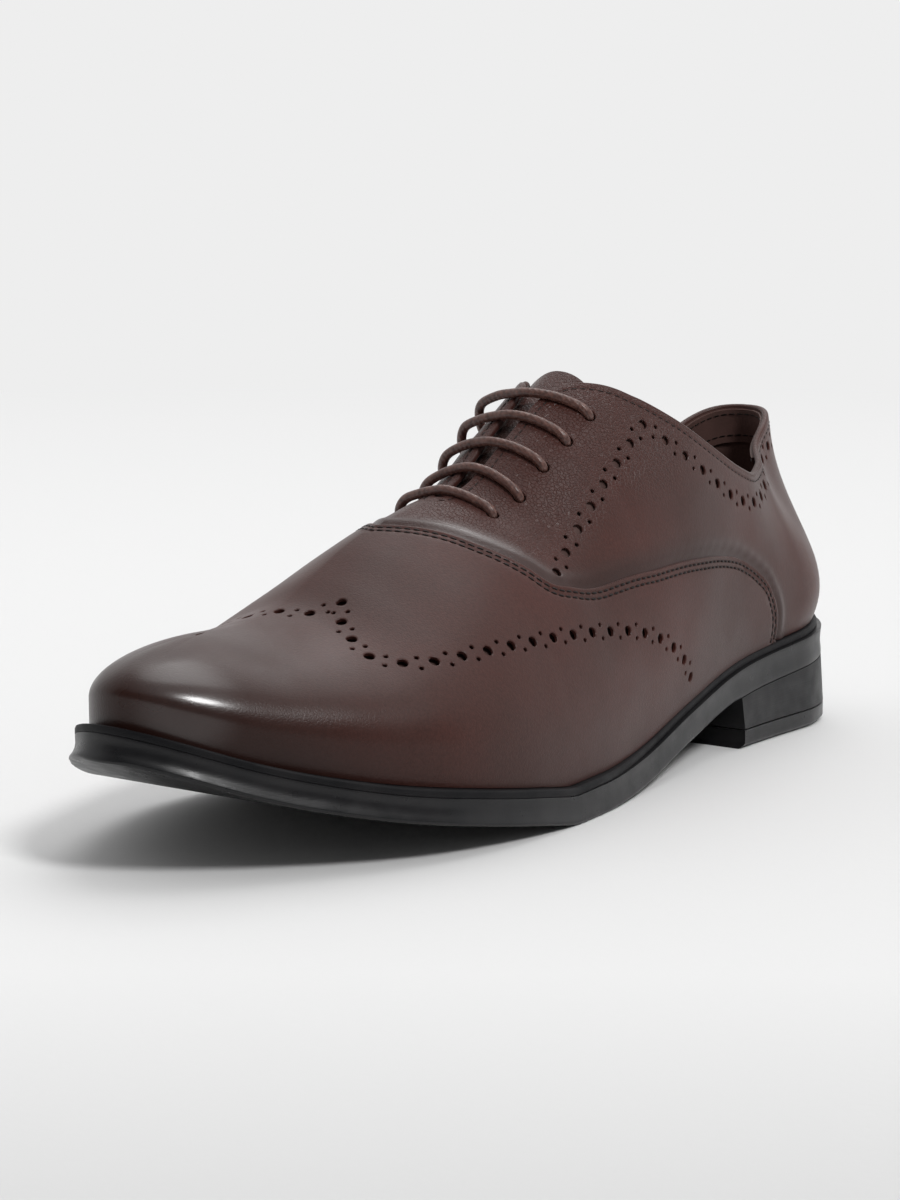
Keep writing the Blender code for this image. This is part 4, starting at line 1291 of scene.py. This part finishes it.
def bar_points(row, reverse):
    """One bar of the lace over the slit, from under one facing to under the other."""
    ends = LACE_HOLES[row]
    points, _, _, normal = axes(ends)
    outer, inner = points
    line = [outer - normal[0] * UNDER_DEPTH, outer - normal[0] * 0.5 * MM]
    s = MIDDLE_S - outer[1]
    middle = []
    for share in BAR_SHARES:
        x = outer[0] + (inner[0] - outer[0]) * share + MIDDLE_X
        bowed = s + BAR_BOW[row] * math.sin(math.pi * share)
        chart = from_above([(x, bowed, 0)])
        point, _, _, up = axes(chart)
        lift = BAR_REST * (1 - 0.45 * abs(2 * share - 1) ** 8)
        lift += BAR_LOOP[row] * math.exp(-((share - LOOP_AT) / LOOP_WIDTH) ** 2)
        middle.append(point[0] + up[0] * lift)
    line += middle
    line += [inner - normal[1] * 0.5 * MM, inner - normal[1] * UNDER_DEPTH]
    return line[::-1] if reverse else line


def under_points(start, end):
    """The hidden run under a facing between two holes, as chart places."""
    chart = start + (end - start) * np.array([0.3, 0.7])[:, None]
    points, _, _, normal = axes(chart)
    return list(points - normal * UNDER_DEPTH)


def build_lace():
    """One lace: over the slit in each row, under the facings between rows."""
    line = []
    tail = [LACE_HOLES[-1][0] * (1 - t) + LACE_HOLES[0][0] * t for t in (0.06, 0.35, 0.65, 0.92)]
    points, _, _, normal = axes(np.array(tail) - np.array([0, 6.0]))
    line += list(points - normal * UNDER_DEPTH)
    for row in range(LACE_ROWS):
        reverse = row % 2 == 1
        line += bar_points(row, reverse)
        if row < LACE_ROWS - 1:
            hole = 0 if reverse else 1
            line += under_points(LACE_HOLES[row][hole], LACE_HOLES[row + 1][hole])
    points, _, _, normal = axes(np.array([LACE_HOLES[-1][1] + np.array([5.0, 3.0])]))
    line.append(points[0] - normal[0] * UNDER_DEPTH)
    route = smooth(line, 9)
    swept("lace", tube(route, LACE_RADIUS, 14), LACE,
          replaced=["lace_bar_%d" % (i + 1) for i in range(LACE_ROWS)])


# Sole unit

def rim_stations(end=None):
    heel = HEEL_ROUND * (1 - np.cos(np.linspace(0, math.pi / 2, 26)))
    if end is None:
        middle = np.linspace(HEEL_ROUND, 1 - TOE_ROUND, 90)[1:]
        toe = 1 - TOE_ROUND * (1 - np.sin(np.linspace(0, math.pi / 2, 48)))[1:]
        return np.concatenate([heel, middle, toe])
    return np.concatenate([heel, np.linspace(HEEL_ROUND, end, 14)[1:]])


def loop_of(ats, edge):
    """A closed loop of world points: up the outer side and back along the inner one."""
    outer = place(*edge(ats, 1))
    inner = place(*edge(ats, -1))
    shared = np.linalg.norm(outer[-1] - inner[-1]) < 0.01 * MM
    return np.concatenate([outer, inner[1:-1][::-1] if shared else inner[1:][::-1]])


def capped(name, ats, edges, material, replaced, sharp=40):
    """A body whose walls join the levels and whose ends are strips across."""
    rings = [loop_of(ats, edge) for edge in edges]
    count = len(rings[0])
    faces = strips(len(rings), count)
    for base, flip in ((0, True), ((len(rings) - 1) * count, False)):
        cap = [(0, 1, count - 1)]
        i, j = 1, count - 1
        while j - i > 2:
            cap.append((i, i + 1, j - 1, j))
            i, j = i + 1, j - 1
        if j - i == 2:
            cap.append((i, i + 1, j))
        for face in cap:
            face = tuple(base + k for k in face)
            faces.append(face[::-1] if flip else face)
    return new_mesh(name, np.vstack(rings), faces, material, replaced, sharp)


def inner_edge(inset, z):
    """A level inside the upper's wall, z over the welt's top."""
    def edge(at, side):
        x, s = feather(at, side, UPPER_WALL + inset)
        return x, s, sole_top(s) + z
    return edge


def outsole_edge(grow, flare, drop, share=None, bevel=0):
    """A level of the outsole: grown by grow and by flare, drop under its top or at a share of its height.

    The bevel leaves out the heel, where the block carries on the wall."""
    def edge(at, side):
        out = grow + PLAN.read("flare", at) * SOLE_FLARE * flare
        out = out - bevel * ramp(at, HEEL_LENGTH / SOLE_LENGTH, HEEL_LENGTH / SOLE_LENGTH + 0.02)
        x, s = outline(at, side, out, out, out)
        top = sole_top(s) - WELT_THICKNESS
        low = underside(s)
        z = top - drop if share is None else low + (top - low) * share
        return x, s, z
    return edge


def build_sole():
    ats = rim_stations()
    capped("outsole_body", ats, [
        outsole_edge(-4 * MM, 0, 0),
        outsole_edge(-0.45 * MM, 0, 0),
        outsole_edge(-0.05 * MM, 0, 0.06 * MM),
        outsole_edge(0, 0, 0.25 * MM),
        outsole_edge(-0.02 * MM, 0.0, 1.0 * MM),
        outsole_edge(-0.22 * MM, 0.1, 0, 0.70),
        outsole_edge(-0.26 * MM, 0.3, 0, 0.50),
        outsole_edge(-0.14 * MM, 0.62, 0, 0.30),
        outsole_edge(0, 0.95, 0, 0.16),
        outsole_edge(0, 1.0, 0, 0.10),
        outsole_edge(0, 1.0, 0, 0.03, 0.25 * MM),
        outsole_edge(-0.05 * MM, 1.0, 0, 0.0, 0.85 * MM),
    ], RUBBER, ["outsole"], sharp=50)

    def welt_edge(inset, z):
        def edge(at, side):
            grow = -np.maximum(PLAN.read("welt", at) - 0.3, 0) * 1.6 * WELT_INSET - inset
            x, s = outline(at, side, grow, grow, grow)
            return x, s, sole_top(s) + z
        return edge

    low = 0.05 * MM - WELT_THICKNESS
    levels = [inner_edge(0, low), welt_edge(0.3 * MM, low), welt_edge(0.05 * MM, low + 0.05 * MM),
              welt_edge(0, low + 0.3 * MM), welt_edge(0, -0.75 * MM), welt_edge(0.2 * MM, -0.25 * MM),
              welt_edge(0.7 * MM, 0), inner_edge(0, 0)]
    rings = np.stack([loop_of(ats, edge) for edge in levels], axis=1)
    swept("welt_strip", rings, WELT_RUBBER, closed=True, replaced=["welt"], sharp=50)


def build_heel():
    ats = rim_stations(HEEL_LENGTH / SOLE_LENGTH)
    base = LIFT_THICKNESS + CLEARANCE

    def level(grow, height):
        """A level at one height, or at a height worked out from s."""
        def edge(at, side):
            x, s = outline(at, side, grow, grow, 0)
            return x, s, (height(s) if callable(height) else height) + 0 * s
        return edge

    def top(s):
        return underside(s) - CLEARANCE

    heel_levels = [level(-0.05 * MM, top), level(0, lambda s: top(s) - 0.08 * MM)]
    for share in (0.25, 0.5, 0.75):
        heel_levels.append(level(HEEL_FLARE * share, lambda s, t=share: top(s) + (base - top(s)) * t))
    heel_levels += [level(HEEL_FLARE, base + 0.2 * MM), level(HEEL_FLARE - 0.2 * MM, base)]
    capped("heel_block", ats, heel_levels, HEEL_RUBBER, ["heel"], sharp=35)
    capped("lift_plate", ats, [
        level(HEEL_FLARE - 0.2 * MM, LIFT_THICKNESS),
        level(HEEL_FLARE, LIFT_THICKNESS - 0.2 * MM),
        level(HEEL_FLARE, 1.6 * MM),
        level(HEEL_FLARE - 0.3 * MM, 1.1 * MM),
        level(HEEL_FLARE - 1.4 * MM, 0.1 * MM),
        level(HEEL_FLARE - 1.6 * MM, 0.0),
    ], RUBBER, ["top_lift"], sharp=35)


def build_sock():
    gap = 2 * CLEARANCE
    levels = [inner_edge(gap, CLEARANCE - WELT_THICKNESS), inner_edge(gap, INSOLE_PROUD - 0.5 * MM),
              inner_edge(gap + 0.5 * MM, INSOLE_PROUD)]
    capped("sock", rim_stations(), levels, LINING, ["insole"])


build_tongue()
build_lace()
build_sole()
build_heel()
build_sock()


# Studio

STAGE_LIGHT = 0.855
PAPER_WHITE = (0.74, 0.74, 0.74)
PAPER_DIM = (0.05, 0.05, 0.05)
FLOOR_RADIUS = 3.0
# Distance over which the floor fades into the backdrop
FADE = (0.45, 1.5)
# Way from the camera's side to the backdrop's, where the dimming ends and starts, and the light left
BACKDROP_WAY = (-0.59, 0.81, 0)
DIM_FROM = (-0.9, -0.2)
DIM_SIDE = 0.08


def turned_body(name, profile, steps, material):
    """A surface turned round the z axis from a profile of (radius, z)."""
    verts = [(r * math.cos(a), r * math.sin(a), z) for r, z in profile
             for a in (2 * math.pi * k / steps for k in range(steps))]
    mesh = bpy.data.meshes.new(name)
    mesh.from_pydata(verts, [], strips(len(profile), steps))
    mesh.shade_smooth()
    mesh.materials.append(material)
    made = linked(name, mesh)
    return made


def build_stage():
    """A pale paper floor that fades into an even backdrop far from the shoe, with painted shade: its
    colour and glow are dim behind the camera.
    """
    paper = Surface("paper", PAPER_WHITE, 0.9, Specular_IOR_Level=0.1)
    paper.bump(paper.noise(400.0, 2.0), 0.00005)
    radius = paper.node("ShaderNodeVectorMath", Vector=paper.place)
    radius.operation = "LENGTH"
    behind = paper.node("ShaderNodeVectorMath", Vector=paper.place)
    behind.operation = "DOT_PRODUCT"
    behind.inputs[1].default_value = BACKDROP_WAY
    lit = paper.span(behind.outputs["Value"], *DIM_FROM, DIM_SIDE, 1)
    far = paper.maths("MULTIPLY", paper.span(radius.outputs["Value"], *FADE, 0, 1), lit)
    # Painted shade: the paper's colour is dark on the camera's side, where the studio is unlit.
    paper.colour(paper.mix(lit, PAPER_DIM, PAPER_WHITE))
    glow = paper.tree.nodes.new("ShaderNodeEmission")
    glow.inputs["Color"].default_value = (STAGE_LIGHT, STAGE_LIGHT, STAGE_LIGHT, 1)
    blend = paper.tree.nodes.new("ShaderNodeMixShader")
    paper.tree.links.new(far, blend.inputs["Fac"])
    paper.tree.links.new(paper.shader.outputs[0], blend.inputs[1])
    paper.tree.links.new(glow.outputs[0], blend.inputs[2])
    paper.tree.links.new(blend.outputs[0], paper.tree.nodes["Material Output"].inputs["Surface"])
    bends = [math.pi / 2 * i / 10 for i in range(1, 11)]
    profile = [(0.001, 0), (0.4, 0), (1.0, 0), (FLOOR_RADIUS, 0)]
    profile += [(FLOOR_RADIUS + math.sin(bend), 1 - math.cos(bend)) for bend in bends]
    profile.append((FLOOR_RADIUS + 1, 3.5))
    backdrop = turned_body("floor", profile, 96, paper.material)
    backdrop.visible_shadow = False


def aim(made, target):
    made.rotation_euler = (Vector(target) - made.location).to_track_quat("-Z", "Y").to_euler()


CAMERA_PLACE = (0.4659, -0.6381, 0.1674)
CAMERA_TARGET = (-0.0151, -0.0003, 0.0495)
CAMERA_LENS = 86.0


def build_camera():
    data = bpy.data.cameras.new("camera")
    data.lens = CAMERA_LENS
    data.sensor_width = 36
    data.clip_start = 0.01
    made = linked("camera", data)
    made.location = CAMERA_PLACE
    aim(made, CAMERA_TARGET)
    bpy.context.scene.camera = made


def sun(name, direction, strength, spread):
    """A distant soft light from that direction, spread over degrees."""
    light = bpy.data.lights.new(name, "SUN")
    light.energy = strength
    light.angle = math.radians(spread)
    made = linked(name, light)
    made.location = direction
    aim(made, (0, 0, 0))


WORLD_BRIGHT = (-0.35, 0.40, 0.85)
WORLD_LOW = 0.03
WORLD_HIGH = 0.75


def build_world():
    """Soft light, brighter from above and from the backdrop's side than from the camera's."""
    world = bpy.data.worlds.new("studio")
    bpy.context.scene.world = world
    world.use_nodes = True
    tree = world.node_tree
    way = tree.nodes.new("ShaderNodeTexCoord").outputs["Generated"]
    facing = tree.nodes.new("ShaderNodeVectorMath")
    facing.operation = "DOT_PRODUCT"
    facing.inputs[1].default_value = WORLD_BRIGHT
    tree.links.new(way, facing.inputs[0])
    strength = tree.nodes.new("ShaderNodeMapRange")
    set_range(strength, -0.5, 0.9, WORLD_LOW, WORLD_HIGH)
    tree.links.new(facing.outputs["Value"], strength.inputs["Value"])
    tree.links.new(strength.outputs[0], tree.nodes["Background"].inputs["Strength"])
    tree.nodes["Background"].inputs["Color"].default_value = (1, 1, 1, 1)


def build_lights():
    build_world()
    sun("key_softbox", (0.64, -0.14, 0.75), 1.7, 14)
    sun("top_softbox", (-0.15, 0.45, 0.88), 0.65, 45)
    sun("back_softbox", (-0.50, 0.70, 0.42), 0.8, 50)


build_camera()
build_stage()
build_lights()
bpy.context.scene.view_settings.view_transform = "Standard"
